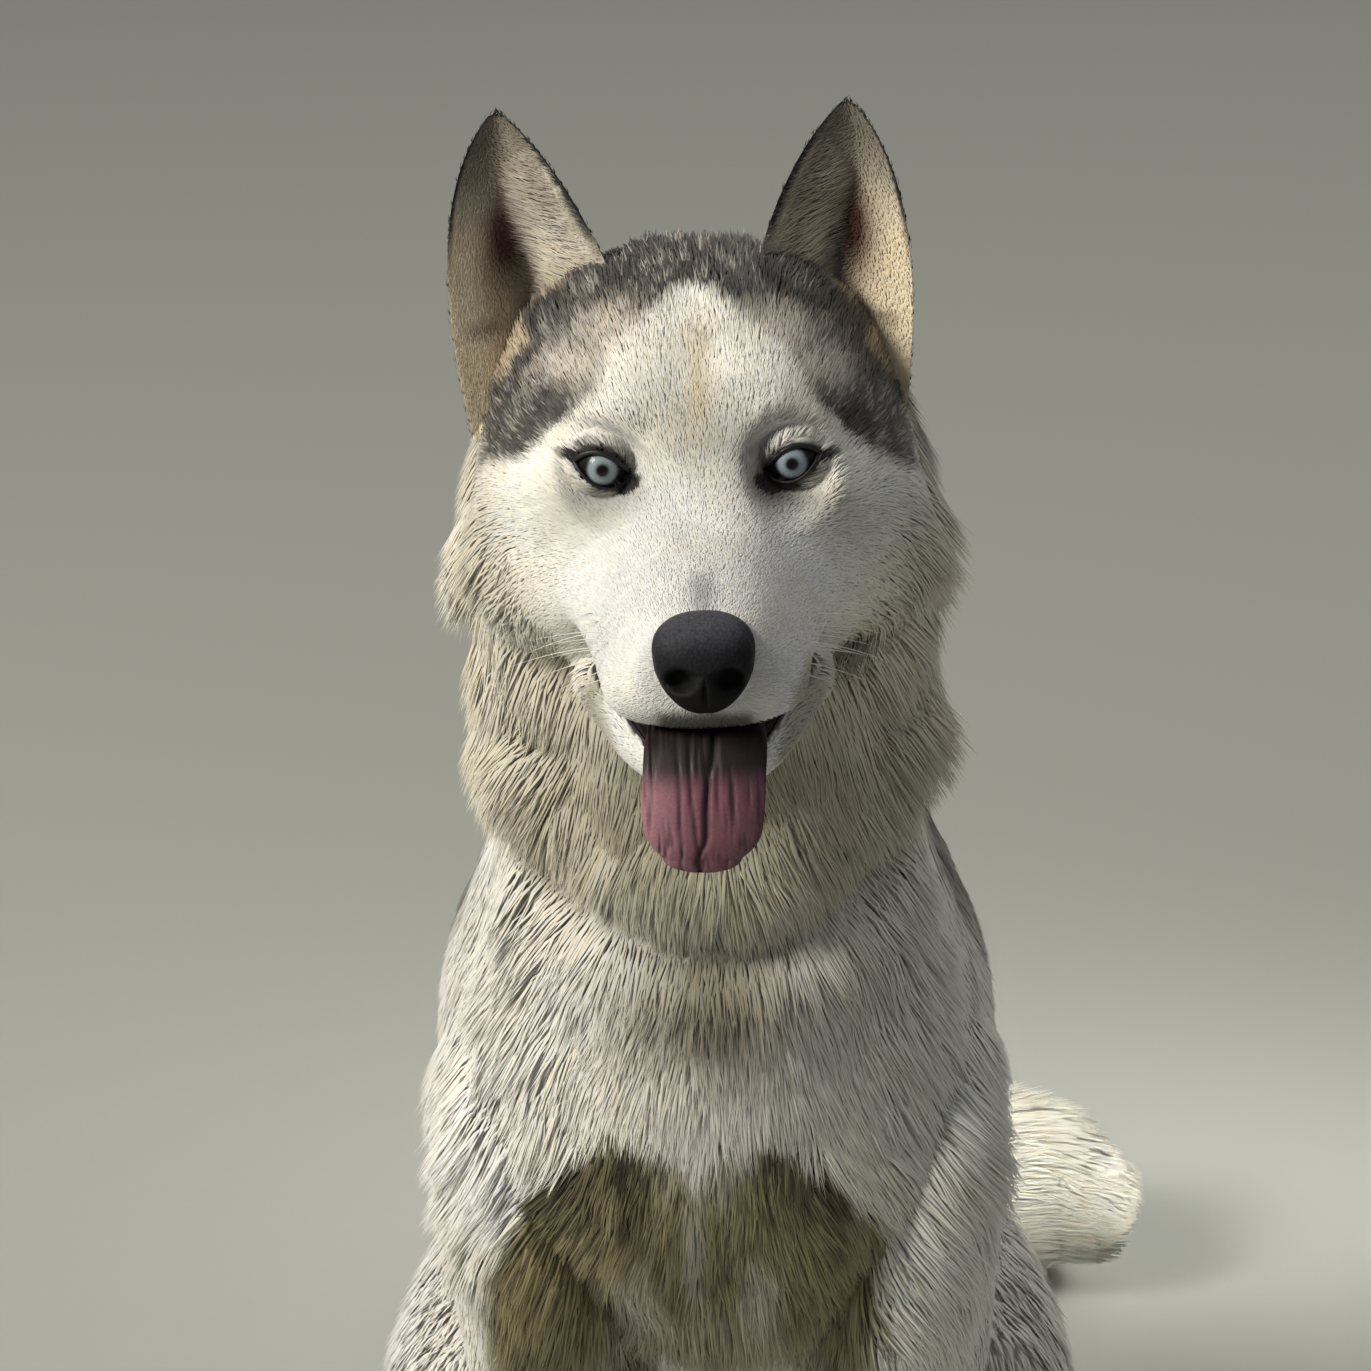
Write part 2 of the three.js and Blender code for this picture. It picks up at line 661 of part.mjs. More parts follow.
// Both lids of an eye, as the shell round the eyeball and the almond opening that parts it.
function lids(side) {
  const [x, y, z] = eyeCentre(side);
  const radius = EYE_RADIUS + GAP + LID_THICKNESS;
  const shell = ellipsoid([x, y, z], [radius, radius, radius], { detail: [16, 10] });
  const almond = new THREE.Shape();
  almond.moveTo(-10.5 * side, -4.5);
  almond.quadraticCurveTo(-3 * side, 12.5, 10 * side, 4);
  almond.quadraticCurveTo(4 * side, -13, -10.5 * side, -4.5);
  const opening = new THREE.ExtrudeGeometry(almond, { depth: 30, bevelEnabled: false, curveSegments: 5 });
  opening.rotateX(Math.PI / 2).translate(x, y, z);
  return [shell, opening].map((shape) => solidOf(shape.applyMatrix4(headPose)));
}

const nosePad = new Loft({
  level: [0, 0, 1],
  sides: 14,
  steps: 4,
  domes: [3, 3],
  stations: headStations([
    [-122, -35, -58, 12, 2.6, -0.1],
    [-117, -30, -61, 16.5, 2.7, -0.15],
    [-110, -29, -62, 18.6, 2.7, -0.12],
    [-98, -30, -61, 18, 2.6, 0],
  ]),
});

// The nose: a rounded pad with two comma-shaped nostrils and a groove between them.
function nose() {
  const holes = [1, -1].flatMap((side) => [
    ellipsoid([8 * side, -123, -49], [3.8, 7, 3.4], { detail: [7, 5] }),
    ellipsoid([13 * side, -119, -51], [5, 6, 1.6], { turn: [0, 0.35 * side, 0], detail: [6, 4] }),
  ]);
  const groove = new THREE.BoxGeometry(1.4, 4, 16).translate(0, -124, -56);
  const tools = [...holes, groove].map((tool) => solidOf(tool.applyMatrix4(headPose)));
  return cut(nosePad.solid(0, headPose), ...tools);
}

const named = (name, solid, colour, roughness = 0.9) => {
  const material = new THREE.MeshStandardMaterial({ color: colour, roughness, metalness: 0 });
  const mesh = new THREE.Mesh(clean(solid), material);
  mesh.name = name;
  return mesh;
};

const dog = new THREE.Group();
const floor = beyond([0, 0, 0], [0, 0, 1]);
const onFloor = (solid) => solid.intersect(floor);
const ahead = (plane) => beyond(plane.at, plane.towards, GAP / 2);
const behind = (plane) => beyond(plane.at, plane.towards.map((n) => -n), GAP / 2);
const upTo = (plane) => beyond(plane.at, plane.towards, -GAP / 2);
const sides = [
  ["left", 1],
  ["right", -1],
];

// How far a point lies ahead of a plane.
const distanceAhead = (plane, point) =>
  point.clone().sub(vec(plane.at)).dot(vec(plane.towards).normalize());

const solidLocks = (loft, locks, grow = 0, pose = new THREE.Matrix4()) =>
  locks.map((one) => solidOf(lock(loft, one, grow).applyMatrix4(pose)));

// The coats of trunk, tail, thighs and cheeks, and the locks of the trunk that each node owns.
const trunkLocks = rowsOfLocks(RUFF_ROWS, { seed: 15 });
const rootOn = (loft, { s, angle }) => loft.point(s, angle);
const neckLocks = trunkLocks.filter((one) => {
  const root = rootOn(trunk, one);
  return distanceAhead(COLLAR_CUT, root) > LOCK_ROOM && distanceAhead(NAPE_CUT, root) < -LOCK_ROOM;
});
const torsoLocks = trunkLocks.filter(
  (one) => distanceAhead(COLLAR_CUT, rootOn(trunk, one)) < -LOCK_ROOM,
);
const brushLocks = rowsOfLocks(BRUSH_ROWS, { seed: 5, flow: 1 });
const cheekLocks = [false, true].flatMap((mirror) =>
  rowsOfLocks(CHEEK_ROWS, { seed: 3, flow: 1, heading: -0.5, mirror }),
);
const breechLocks = (side) =>
  rowsOfLocks(BREECH_ROWS, { seed: 9, flow: -1, heading: -0.5, mirror: side < 0 });

const body = trunk.solid();
const bodyGrown = trunk.solid(GAP);
const torsoSide = bodyGrown.intersect(behind(COLLAR_CUT));

function addHead() {
  const eyeParts = sides.map(([, side]) => lids(side));
  const pockets = [
    ...eyeParts.map(([, opening]) => opening),
    ...sides.map(([, side]) => eyeball(side, GAP)),
    nosePad.solid(GAP, headPose),
    tongue.solid(GAP, headPose),
  ];
  const flesh = join([skull.solid(0, headPose), body, ...eyeParts.map(([shell]) => shell)]);
  const headAndNeck = cut(flesh, ...pockets);
  const fringe = solidLocks(skull, cheekLocks, 0, headPose);
  const grownFringe = solidLocks(skull, cheekLocks, GAP, headPose);
  const neckSide = join([bodyGrown, skull.solid(GAP, headPose)]).intersect(behind(NAPE_CUT));
  const headCore = headAndNeck.intersect(ahead(NAPE_CUT));
  dog.add(named("head", join([headCore, ...fringe.map((one) => cut(one, neckSide))]), HIDE.white));
  const headSide = bodyGrown.intersect(upTo(NAPE_CUT));
  const near = [skull.solid(GAP, headPose), lowerJaw.solid(GAP, headPose), headSide, torsoSide];
  const ruff = solidLocks(trunk, neckLocks).map((one) => cut(one, ...near));
  const neckCore = headAndNeck.intersect(behind(NAPE_CUT)).intersect(ahead(COLLAR_CUT));
  dog.add(named("neck", cut(join([neckCore, ...ruff]), ...grownFringe), HIDE.pale));
  dog.add(named("nose", nose(), 0x1e1e22, 0.4));
  dog.add(named("tongue", tongue.solid(0, headPose), 0xa8606f, 0.45));
  const jawTools = [skull.solid(GAP, headPose), bodyGrown, tongue.solid(GAP, headPose), ...grownFringe];
  dog.add(named("jaw", cut(lowerJaw.solid(0, headPose), ...jawTools), HIDE.white));
  for (const [name, side] of sides) {
    dog.add(named("eye_" + name, eyeball(side), 0x9fb4bd, 0.15));
    dog.add(named("ear_" + name, cut(ear(side), skull.solid(GAP, headPose), bodyGrown), HIDE.grey));
  }
}

const thighTools = (side) =>
  join([thigh(side).solid(GAP), ...solidLocks(thigh(side), breechLocks(side), GAP)]);

function addLimbs() {
  for (const [name, side] of sides) {
    const pawTop = { at: [0, 0, PAW_TOP], towards: [0, 0, 1] };
    const frontPaw = paw({ at: [55 * side, -6, 0], turn: 0.06 * side });
    const fore = onFloor(join([foreleg(side).solid(), frontPaw]));
    dog.add(named("foreleg_" + name, fore.intersect(ahead(pawTop)), HIDE.white));
    dog.add(named("forepaw_" + name, fore.intersect(behind(pawTop)), HIDE.white));
    const haunch = join([thigh(side).solid(), ...solidLocks(thigh(side), breechLocks(side))]);
    dog.add(named("thigh_" + name, onFloor(haunch), HIDE.pale));
    const backPaw = paw({ at: [139 * side, 96, 0], turn: 0.12 * side, scale: 0.93 });
    const whole = join([shank(side).solid(), hindFoot(side).solid(), backPaw]);
    const hind = cut(whole, thighTools(side), bodyGrown);
    const toePlane = { at: [0, TOES_FROM, 0], towards: [0, 1, 0] };
    dog.add(named("hind_leg_" + name, onFloor(hind.intersect(ahead(toePlane))), HIDE.white));
    dog.add(named("hind_paw_" + name, onFloor(hind.intersect(behind(toePlane))), HIDE.white));
  }
}

function addTorso() {
  const tools = sides.flatMap(([, side]) => [foreleg(side).solid(GAP), thighTools(side)]);
  const coat = solidLocks(trunk, torsoLocks);
  const whole = join([body.intersect(behind(COLLAR_CUT)), ...coat]);
  const neckTools = [...solidLocks(trunk, neckLocks, GAP), bodyGrown.intersect(upTo(COLLAR_CUT))];
  dog.add(named("torso", onFloor(cut(whole, ...tools, ...neckTools)), HIDE.grey));
}

function addTail() {
  const others = [bodyGrown, ...solidLocks(trunk, torsoLocks, GAP), thighTools(1), thighTools(-1)];
  const rootLocks = brushLocks.filter((one) => distanceAhead(TAIL_CUT, rootOn(tail, one)) > LOCK_ROOM);
  const tipLocks = brushLocks.filter((one) => distanceAhead(TAIL_CUT, rootOn(tail, one)) < -LOCK_ROOM);
  const core = tail.solid();
  const coreGrown = tail.solid(GAP);
  const tipSide = coreGrown.intersect(behind(TAIL_CUT));
  const rootCoat = solidLocks(tail, rootLocks).map((one) => cut(one, tipSide));
  const root = join([core.intersect(ahead(TAIL_CUT)), ...rootCoat]);
  const tip = join([core.intersect(behind(TAIL_CUT)), ...solidLocks(tail, tipLocks)]);
  const tipTools = [...solidLocks(tail, rootLocks, GAP), coreGrown.intersect(upTo(TAIL_CUT))];
  dog.add(named("tail_root", onFloor(cut(root, ...others)), HIDE.white));
  dog.add(named("tail_tip", onFloor(cut(tip, ...tipTools, ...others)), HIDE.white));
}

addHead();
addLimbs();
addTorso();
addTail();

// The origin is on the floor, under the middle of the dog.
dog.updateMatrixWorld(true);
const box = new THREE.Box3().setFromObject(dog);
dog.position.set(-(box.min.x + box.max.x) / 2, -(box.min.y + box.max.y) / 2, -box.min.z);

export default dog;
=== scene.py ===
"""A Siberian husky that sits and faces forward, dressed as a life-size still model.

Sizes are in millimetres in the dog's own frame: the nose towards -Y, the dog's left side towards +X
and the floor at Z = 0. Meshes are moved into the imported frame, in metres, when they are made.
"""

import logging
import math
from dataclasses import dataclass, field
from enum import Enum
from itertools import product
from typing import Callable, Iterable, Sequence

import bmesh
import bpy
import numpy as np
from mathutils import Matrix, Vector, kdtree

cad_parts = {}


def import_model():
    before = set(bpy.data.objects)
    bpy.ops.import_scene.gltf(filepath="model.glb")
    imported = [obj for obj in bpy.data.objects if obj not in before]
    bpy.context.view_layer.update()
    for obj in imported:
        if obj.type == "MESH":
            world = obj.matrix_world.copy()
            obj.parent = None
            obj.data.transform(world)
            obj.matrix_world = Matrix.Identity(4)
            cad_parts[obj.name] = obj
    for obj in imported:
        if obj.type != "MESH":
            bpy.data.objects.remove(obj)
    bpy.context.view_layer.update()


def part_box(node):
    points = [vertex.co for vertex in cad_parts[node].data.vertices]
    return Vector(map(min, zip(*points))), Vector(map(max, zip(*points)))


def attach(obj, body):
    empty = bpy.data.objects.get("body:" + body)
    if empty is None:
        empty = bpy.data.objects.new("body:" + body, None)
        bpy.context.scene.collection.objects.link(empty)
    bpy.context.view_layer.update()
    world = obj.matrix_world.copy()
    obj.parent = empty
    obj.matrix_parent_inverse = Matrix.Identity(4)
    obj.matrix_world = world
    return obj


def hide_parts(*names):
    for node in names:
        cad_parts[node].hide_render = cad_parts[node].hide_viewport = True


LOG = logging.getLogger("husky")
MM = 0.001
IMAGE_SIDE = 1371  # pixels of the photograph's frame
NEARBY = 0.05  # how far ahead and behind a direction along a loft is felt, in stations

# The head's own frame: its origin is midway between the eyes, and it is pitched up a little.
EYES_AT = np.array([0.0, -72.0, 660.0])
HEAD_PITCH = math.radians(-8.0)
HEAD_TURN = np.array(Matrix.Rotation(HEAD_PITCH, 3, "X"))
EYE_RADIUS = 10.8
EYE_APART = 34.5
EYE_DEPTH = 6.0
IMAGE_ROLL = math.radians(2.0)  # how far the camera leans to one side
IMAGE_PITCH = math.radians(21.0)  # how far the camera looks down

Array = np.ndarray
Mesh = bpy.types.Mesh
Material = bpy.types.Material
Rows = Sequence[Sequence[float]]
Form = tuple[tuple[float, float, float], float, tuple[float, float, float]]


def from_head(points: Array) -> Array:
    """Moves points of the head's frame into the dog's frame."""
    return points @ HEAD_TURN.T + EYES_AT


def to_head(points: Array) -> Array:
    """Moves points of the dog's frame into the head's frame."""
    return (points - EYES_AT) @ HEAD_TURN


def linear(code: str) -> Array:
    """Turns an sRGB hex colour into linear red, green and blue.

    Args:
        code: Six hex digits.

    Returns:
        Three linear values from 0 to 1.
    """
    values = np.array([int(code[i : i + 2], 16) / 255 for i in (0, 2, 4)])
    return np.where(values <= 0.04045, values / 12.92, ((values + 0.055) / 1.055) ** 2.4)


def rgba(code: str) -> tuple[float, float, float, float]:
    """Turns an sRGB hex colour into a linear colour for a socket."""
    return (*(float(v) for v in linear(code)), 1.0)


def unit(vectors: Array) -> Array:
    """Scales vectors to a length of one."""
    return vectors / np.maximum(np.linalg.norm(vectors, axis=-1, keepdims=True), 1e-9)


def ramp(values: Array, low: float, high: float) -> Array:
    """Rises smoothly from 0 at low to 1 at high."""
    t = np.clip((values - low) / (high - low), 0, 1)
    return t * t * (3 - 2 * t)


def smooth_at(table: Array, s: Array) -> Array:
    """Reads a table smoothly between its rows, by Catmull-Rom.

    Args:
        table: One row for each station.
        s: Places along the table, counted in rows.

    Returns:
        One row for each place.
    """
    last = len(table) - 1
    i = np.clip(np.floor(s).astype(int), 0, last - 1)
    t = (s - i).reshape(-1, *[1] * (table.ndim - 1))
    a, b = table[i], table[i + 1]
    first = (i > 0).reshape(t.shape)
    final = (i + 1 < last).reshape(t.shape)
    before = np.where(first, table[np.maximum(i - 1, 0)], 2 * a - b)
    after = np.where(final, table[np.minimum(i + 2, last)], 2 * b - a)
    square = 2 * before - 5 * a + 4 * b - after
    return a + 0.5 * t * (b - before + t * (square + t * (3 * a - before - 3 * b + after)))


# Large factors that scatter neighbouring whole numbers: for x, y, z and the seed, and a last one.
SCATTER = (73856093, 19349663, 83492791, 2654435761, 1274126177)
SEED_SHIFT = 17.3  # how far one pattern is moved from the last, in patches


def lattice(points: Array, seed: int) -> Array:
    """Gives each whole-number place its own steady random value from 0 to 1."""
    bits = seed * SCATTER[3]
    for column, factor in zip(points.astype(np.int64).T, SCATTER):
        bits = bits ^ (column * factor)
    bits = (bits ^ (bits >> 13)) * SCATTER[4]
    return ((bits ^ (bits >> 16)) & 0xFFFF) / 0xFFFF


def noise(points: Array, size: float, seed: int) -> Array:
    """Smooth random values from 0 to 1 over space.

    Args:
        points: Places in millimetres.
        size: The width of one patch in millimetres.
        seed: Tells one pattern from another.

    Returns:
        One value for each place.
    """
    scaled = points / size + seed * SEED_SHIFT
    cell = np.floor(scaled)
    t = scaled - cell
    t = t * t * (3 - 2 * t)
    total = np.zeros(len(points))
    for corner in range(8):
        step = np.array([corner & 1, corner >> 1 & 1, corner >> 2 & 1])
        share = np.prod(np.where(step, t, 1 - t), axis=1)
        total += share * lattice(cell + step, seed)
    return total


def pressed_by(places: Array, forms: Sequence[Form]) -> Array:
    """Pushes places by soft round forms, on both sides of the middle.

    Args:
        places: Points, one row each.
        forms: The place, the reach and the push of each form.

    Returns:
        The moved points.
    """
    for at, reach, push in forms:
        for mirror in (1, -1) if at[0] else (1,):
            flip = np.array([mirror, 1, 1])
            apart = ((places - np.array(at) * flip) ** 2).sum(1)
            places = places + np.exp(-apart / reach**2)[:, None] * (np.array(push) * flip)
    return places


@dataclass(frozen=True)
class Loft:
    """A limb or a trunk: rounded rings along stations, with a dome at each end.

    A station has its centre, its two half sizes, how square its ring is and how much the ring
    narrows towards its top.
    """

    at: Array
    half: Array
    square: Array
    taper: Array
    side: tuple[float, float, float] = (1.0, 0.0, 0.0)
    level: tuple[float, float, float] | None = None
    domes: tuple[float, float] = (1.0, 1.0)
    bulges: tuple[Form, ...] = ()
    on_head: bool = False
    depth: tuple[float, ...] = (2.0,)

    @property
    def last(self) -> int:
        """The number of the last station."""
        return len(self.at) - 1

    def along_table(self, values: Sequence[float], s: Array) -> Array:
        """Reads a list with a value for each station, or one for all, at places s."""
        table = np.array(values, float)
        if len(table) == 1:
            return np.full(len(s), table[0])
        return np.interp(s, np.linspace(0, self.last, len(table)), table)

    def point(self, s: Array, angle: Array, lift: Array | float = 0.0) -> Array:
        """Points of the surface in the dog's frame.

        Args:
            s: Places along the stations, one less than the first or more than the last at a pole.
            angle: Directions round the ring.
            lift: How far the points stand off the surface.

        Returns:
            One point for each place.
        """
        within = np.clip(s, 0, self.last)
        centre = smooth_at(self.at, within)
        ahead = smooth_at(self.at, np.minimum(within + NEARBY, self.last))
        along = unit(ahead - smooth_at(self.at, np.maximum(within - NEARBY, 0)))
        if self.level is None:
            v = unit(np.cross(along, np.array(self.side)))
            u = np.cross(v, along)
        else:
            v = np.tile(self.level, (len(s), 1))
            u = np.tile(self.side, (len(s), 1))
        out = np.where(s < 0, -s, np.maximum(s - self.last, 0))
        shrink = np.sqrt(np.maximum(1 - out**2, 0))
        half = np.maximum(smooth_at(self.half, within) + np.reshape(lift, (-1, 1)), 1.5)
        power = 2 / smooth_at(self.square, within)
        taper = smooth_at(self.taper, within)
        c, d = np.cos(angle), np.sin(angle)
        x = half[:, 0] * shrink * np.sign(c) * np.abs(c) ** power * (1 - taper * d)
        y = half[:, 1] * shrink * np.sign(d) * np.abs(d) ** power
        domes = np.maximum(np.where(s < 0, self.domes[0], self.domes[1]) + lift, 1.0)
        dome = np.where(s < 0, -out, out) * domes
        places = centre + u * x[:, None] + v * y[:, None] + along * dome[:, None]
        places = pressed_by(places, self.bulges)
        return from_head(places) if self.on_head else places


def level_loft(rows: Rows, **options) -> Loft:
    """A loft with level rings, from rows of height, front, back, half width and middle line.

    Args:
        rows: The stations, from the lowest up.
        options: More of the loft's fields.

    Returns:
        The loft.
    """
    table = np.array([[*row, *(0.0,) * (5 - len(row))] for row in rows])
    z, front, back, half, x = table.T
    return Loft(
        at=np.stack([x, (front + back) / 2, z], 1),
        half=np.stack([half, (back - front) / 2], 1),
        square=np.full(len(z), 2.15),
        taper=np.zeros(len(z)),
        level=(0.0, 1.0, 0.0),
        **options,
    )


def head_loft(rows: Rows, **options) -> Loft:
    """A loft with upright rings, from rows of y, top, bottom, half width, squareness and taper.

    Args:
        rows: The stations, from the front back.
        options: More of the loft's fields.

    Returns:
        The loft.
    """
    y, top, bottom, half, square, taper = np.array(rows, float).T
    return Loft(
        at=np.stack([0 * y, y, (top + bottom) / 2], 1),
        half=np.stack([half, (top - bottom) / 2], 1),
        square=square,
        taper=taper,
        level=(0.0, 0.0, 1.0),
        on_head=True,
        **options,
    )


def bent_loft(rows: Rows, **options) -> Loft:
    """A loft with rings square to its own bent line, from rows of a centre and two half sizes.

    Args:
        rows: The stations along the line.
        options: More of the loft's fields.

    Returns:
        The loft.
    """
    table = np.array(rows, float)
    return Loft(
        at=table[:, :3],
        half=table[:, 3:],
        square=np.full(len(table), 2.0),
        taper=np.zeros(len(table)),
        **options,
    )


TRUNK = level_loft(
    [
        (-14, 300, 386, 56), (25, 258, 404, 74), (75, 216, 410, 82), (130, 170, 406, 87),
        (185, 112, 390, 93), (235, 42, 366, 102), (280, -22, 336, 105), (320, -58, 302, 109),
        (360, -76, 264, 113), (400, -82, 224, 108), (440, -78, 184, 96), (480, -67, 152, 86),
        (520, -58, 132, 87), (560, -51, 118, 92), (600, -42, 108, 93), (636, -27, 98, 84),
        (664, -6, 86, 68), (684, 14, 72, 46),
    ],
    domes=(10, 9),
    depth=(5, 6, 7, 7, 7.5, 8, 8, 8, 8.5, 9, 9, 8),
)
SKULL = head_loft(
    [
        (-104, -32, -70, 25, 2.5, 0.1), (-92, -24, -76, 31, 2.5, 0.18),
        (-75, -18, -75, 36, 2.5, 0.26), (-55, -14, -68, 40, 2.5, 0.3),
        (-35, -8, -62, 46, 2.4, 0.3), (-18, 2, -64, 53, 2.3, 0.25), (0, 23, -74, 62, 2.3, 0.18),
        (22, 48, -86, 72, 2.2, 0.1), (45, 64, -92, 78, 2.2, 0.08), (70, 71, -92, 81, 2.2, 0.05),
        (95, 63, -85, 78, 2.2, 0.05), (118, 42, -72, 66, 2.2, 0.05),
    ],
    domes=(4, 12),
    bulges=(
        ((31, -14, -2), 13, (0, 7, -1)), ((30, -4, 20), 14, (0, -4, 2)),
        ((0, 8, 34), 12, (0, 3, -3)), ((62, 40, -30), 30, (4, 0, 0)),
        ((30, -86, -62), 14, (2.5, 0, -1.5)),
    ),
    depth=(0.8, 0.9, 1.0, 1.2, 1.4, 1.7, 2.2, 3.0, 4.0, 5.0, 6.0, 6.0),
)
JAW = head_loft(
    [
        (-92, -85, -96, 13, 2.3, 0), (-82, -82, -103, 20, 2.4, -0.1),
        (-64, -76, -106, 27, 2.5, -0.12), (-44, -67, -107, 35, 2.5, -0.12),
        (-24, -62, -105, 41, 2.4, -0.1), (0, -60, -102, 46, 2.3, 0), (26, -62, -98, 48, 2.3, 0),
    ],
    domes=(4, 8),
    depth=(1.0, 1.2, 1.4, 1.8, 2.4, 3.2, 4.0),
)
TONGUE = bent_loft(
    [
        (0, -42, -72, 17, 5), (0, -62, -75, 20, 5), (0, -82, -77.5, 21, 5),
        (-0.4, -97, -80, 21.8, 4.6), (-1.2, -105.5, -88, 21.8, 4.2),
        (-1.9, -108.5, -98, 21.8, 3.8), (-2.4, -109.5, -108.5, 20.7, 3.4),
        (-2.7, -109, -114, 17.8, 3.1), (-2.9, -108, -118, 14, 2.7),
    ],
    domes=(3, 6),
    on_head=True,
)
NOSE = head_loft(
    [
        (-115.5, -30, -63, 16.8, 2.3, -0.22), (-109, -28.5, -64, 17.8, 2.35, -0.2),
        (-98, -30, -62, 17.4, 2.4, -0.05),
    ],
    domes=(9.5, 3),
)
TAIL = bent_loft(
    [
        (0, 384, 88, 30, 30), (6, 424, 74, 34, 34), (22, 470, 62, 40, 42),
        (54, 510, 54, 45, 46), (98, 534, 52, 47, 47), (140, 540, 50, 44, 44),
        (172, 530, 44, 34, 34),
    ],
    side=(0.0, 0.0, 1.0),
    domes=(10, 26),
    depth=(8, 9, 10, 11, 12, 12, 12),
)


@dataclass(frozen=True)
class Limb:
    """A part of a leg on the left side, which is mirrored for the right one."""

    make: Callable[..., Loft]
    across: int  # the column of the rows that says how far the limb is from the middle
    rows: Rows
    domes: tuple[float, float]
    depth: tuple[float, ...]
    detail: tuple[int, int]  # faces round it and along it

    def on(self, side: int) -> Loft:
        """The loft of the left side, 1, or of the right side, -1."""
        rows = np.array(self.rows, float)
        rows[:, self.across] *= side
        return self.make(rows, domes=self.domes, depth=self.depth)


# From the paw up to the shoulder.
FORELEG = Limb(
    level_loft,
    4,
    (
        (14, -24, 26, 23, 55), (45, -17, 27, 24, 55), (80, -15, 28, 25, 55),
        (112, -19, 31, 27, 56), (160, -20, 36, 28, 58), (210, -24, 50, 35, 63),
        (255, -32, 66, 39, 66), (295, -40, 80, 41, 68), (335, -46, 88, 41, 71),
        (375, -44, 90, 39, 73), (412, -24, 80, 27, 71),
    ),
    domes=(8, 14),
    depth=(1.2, 1.5, 2, 2.2, 2.6, 3.4, 4.2, 5.2, 6, 6.8, 7.4),
    detail=(44, 70),
)
# From the rump to the knee.
THIGH = Limb(
    bent_loft,
    0,
    (
        (54, 372, 112, 38, 68), (62, 338, 118, 46, 98), (78, 286, 119, 50, 94),
        (95, 232, 122, 49, 78), (105, 188, 130, 43, 61), (110, 160, 135, 34, 45),
    ),
    domes=(22, 26),
    depth=(7.5, 7.5, 7, 6.5, 5.5, 4.5),
    detail=(48, 50),
)
# From the knee to the hock.
SHANK = Limb(
    bent_loft,
    0,
    (
        (110, 180, 110, 30, 38), (113, 222, 86, 28, 34), (117, 266, 62, 24, 28),
        (119, 308, 45, 20, 24), (120, 334, 35, 18, 22),
    ),
    domes=(14, 12),
    depth=(4, 3.5, 3, 2.5, 2.5),
    detail=(36, 30),
)
# From the hock to the toes.
HIND_FOOT = Limb(
    bent_loft,
    0,
    (
        (119, 350, 28, 16, 21), (121, 318, 28, 20, 25), (124, 268, 25, 19, 22),
        (128, 214, 24, 20, 21), (132, 164, 24, 24, 22), (135, 132, 23, 28, 21),
    ),
    domes=(12, 10),
    depth=(2.5, 2.2, 2, 2, 1.8, 1.6),
    detail=(36, 40),
)
LIMBS = (FORELEG, THIGH, SHANK, HIND_FOOT)


class Room:
    """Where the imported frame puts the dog."""

    shift = np.zeros(3)

    @classmethod
    def settle(cls) -> None:
        """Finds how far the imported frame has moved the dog's own frame, from an eye's box."""
        low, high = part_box("eye_left")
        named = from_head(np.array([[EYE_APART, EYE_DEPTH, 0.0]]))[0]
        cls.shift = (np.array(low) + np.array(high)) / 2 / MM - named

    @classmethod
    def metres(cls, points: Array) -> Array:
        """Turns millimetres of the dog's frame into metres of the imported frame."""
        return (points + cls.shift) * MM

    @classmethod
    def dog(cls, points: Array) -> Array:
        """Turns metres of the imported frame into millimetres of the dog's frame."""
        return points / MM - cls.shift


def read_all(items: bpy.types.bpy_prop_collection, name: str, width: int, kind: type) -> Array:
    """Reads a property of everything in a list of a mesh.

    Args:
        items: The list.
        name: The property's name.
        width: How many numbers it has.
        kind: The numpy type of the numbers.

    Returns:
        One row for each of them.
    """
    flat = np.empty(len(items) * width, kind)
    items.foreach_get(name, flat)
    return flat.reshape(-1, width)


def places_of(mesh: Mesh) -> Array:
    """The corners of a mesh, one row each."""
    return read_all(mesh.vertices, "co", 3, np.float32).astype(float)


def place_all(mesh: Mesh, places: Array) -> None:
    """Moves the corners of a mesh."""
    mesh.vertices.foreach_set("co", places.astype(np.float32).ravel())
    mesh.update()


def ball(sides: int, rings: int) -> tuple[Mesh, Array, Array]:
    """A round ball, to be pulled over a form.

    Args:
        sides: Faces round it.
        rings: Faces from pole to pole.

    Returns:
        The mesh, and for each corner its share of the way from pole to pole and its direction.
    """
    work = bmesh.new()
    bmesh.ops.create_uvsphere(work, u_segments=sides, v_segments=rings, radius=1.0)
    mesh = bpy.data.meshes.new("ball")
    work.to_mesh(mesh)
    work.free()
    places = places_of(mesh)
    polar = np.arccos(np.clip(places[:, 2], -1, 1)) / math.pi
    return mesh, polar, np.arctan2(places[:, 1], places[:, 0])


def loft_shell(loft: Loft, sides: int, rings: int) -> Mesh:
    """A closed shell over a loft, sunk by the depth of its coat."""
    mesh, polar, angle = ball(sides, rings)
    s = -1 + (loft.last + 2) * polar
    place_all(mesh, loft.point(s, angle, -loft.along_table(loft.depth, s)))
    return mesh


def shaped_ball(
    at: Sequence[float],
    half: Sequence[float],
    turn: Matrix | None = None,
    detail: tuple[int, int] = (24, 16),
) -> Mesh:
    """An ellipsoid in millimetres.

    Args:
        at: Its centre.
        half: Its half sizes.
        turn: How it is turned about its centre.
        detail: Faces round it and from pole to pole.

    Returns:
        A closed mesh.
    """
    mesh, _, _ = ball(*detail)
    places = places_of(mesh) * np.array(half, float)
    if turn is not None:
        places = places @ np.array(turn.to_3x3()).T
    place_all(mesh, places + np.array(at, float))
    return mesh


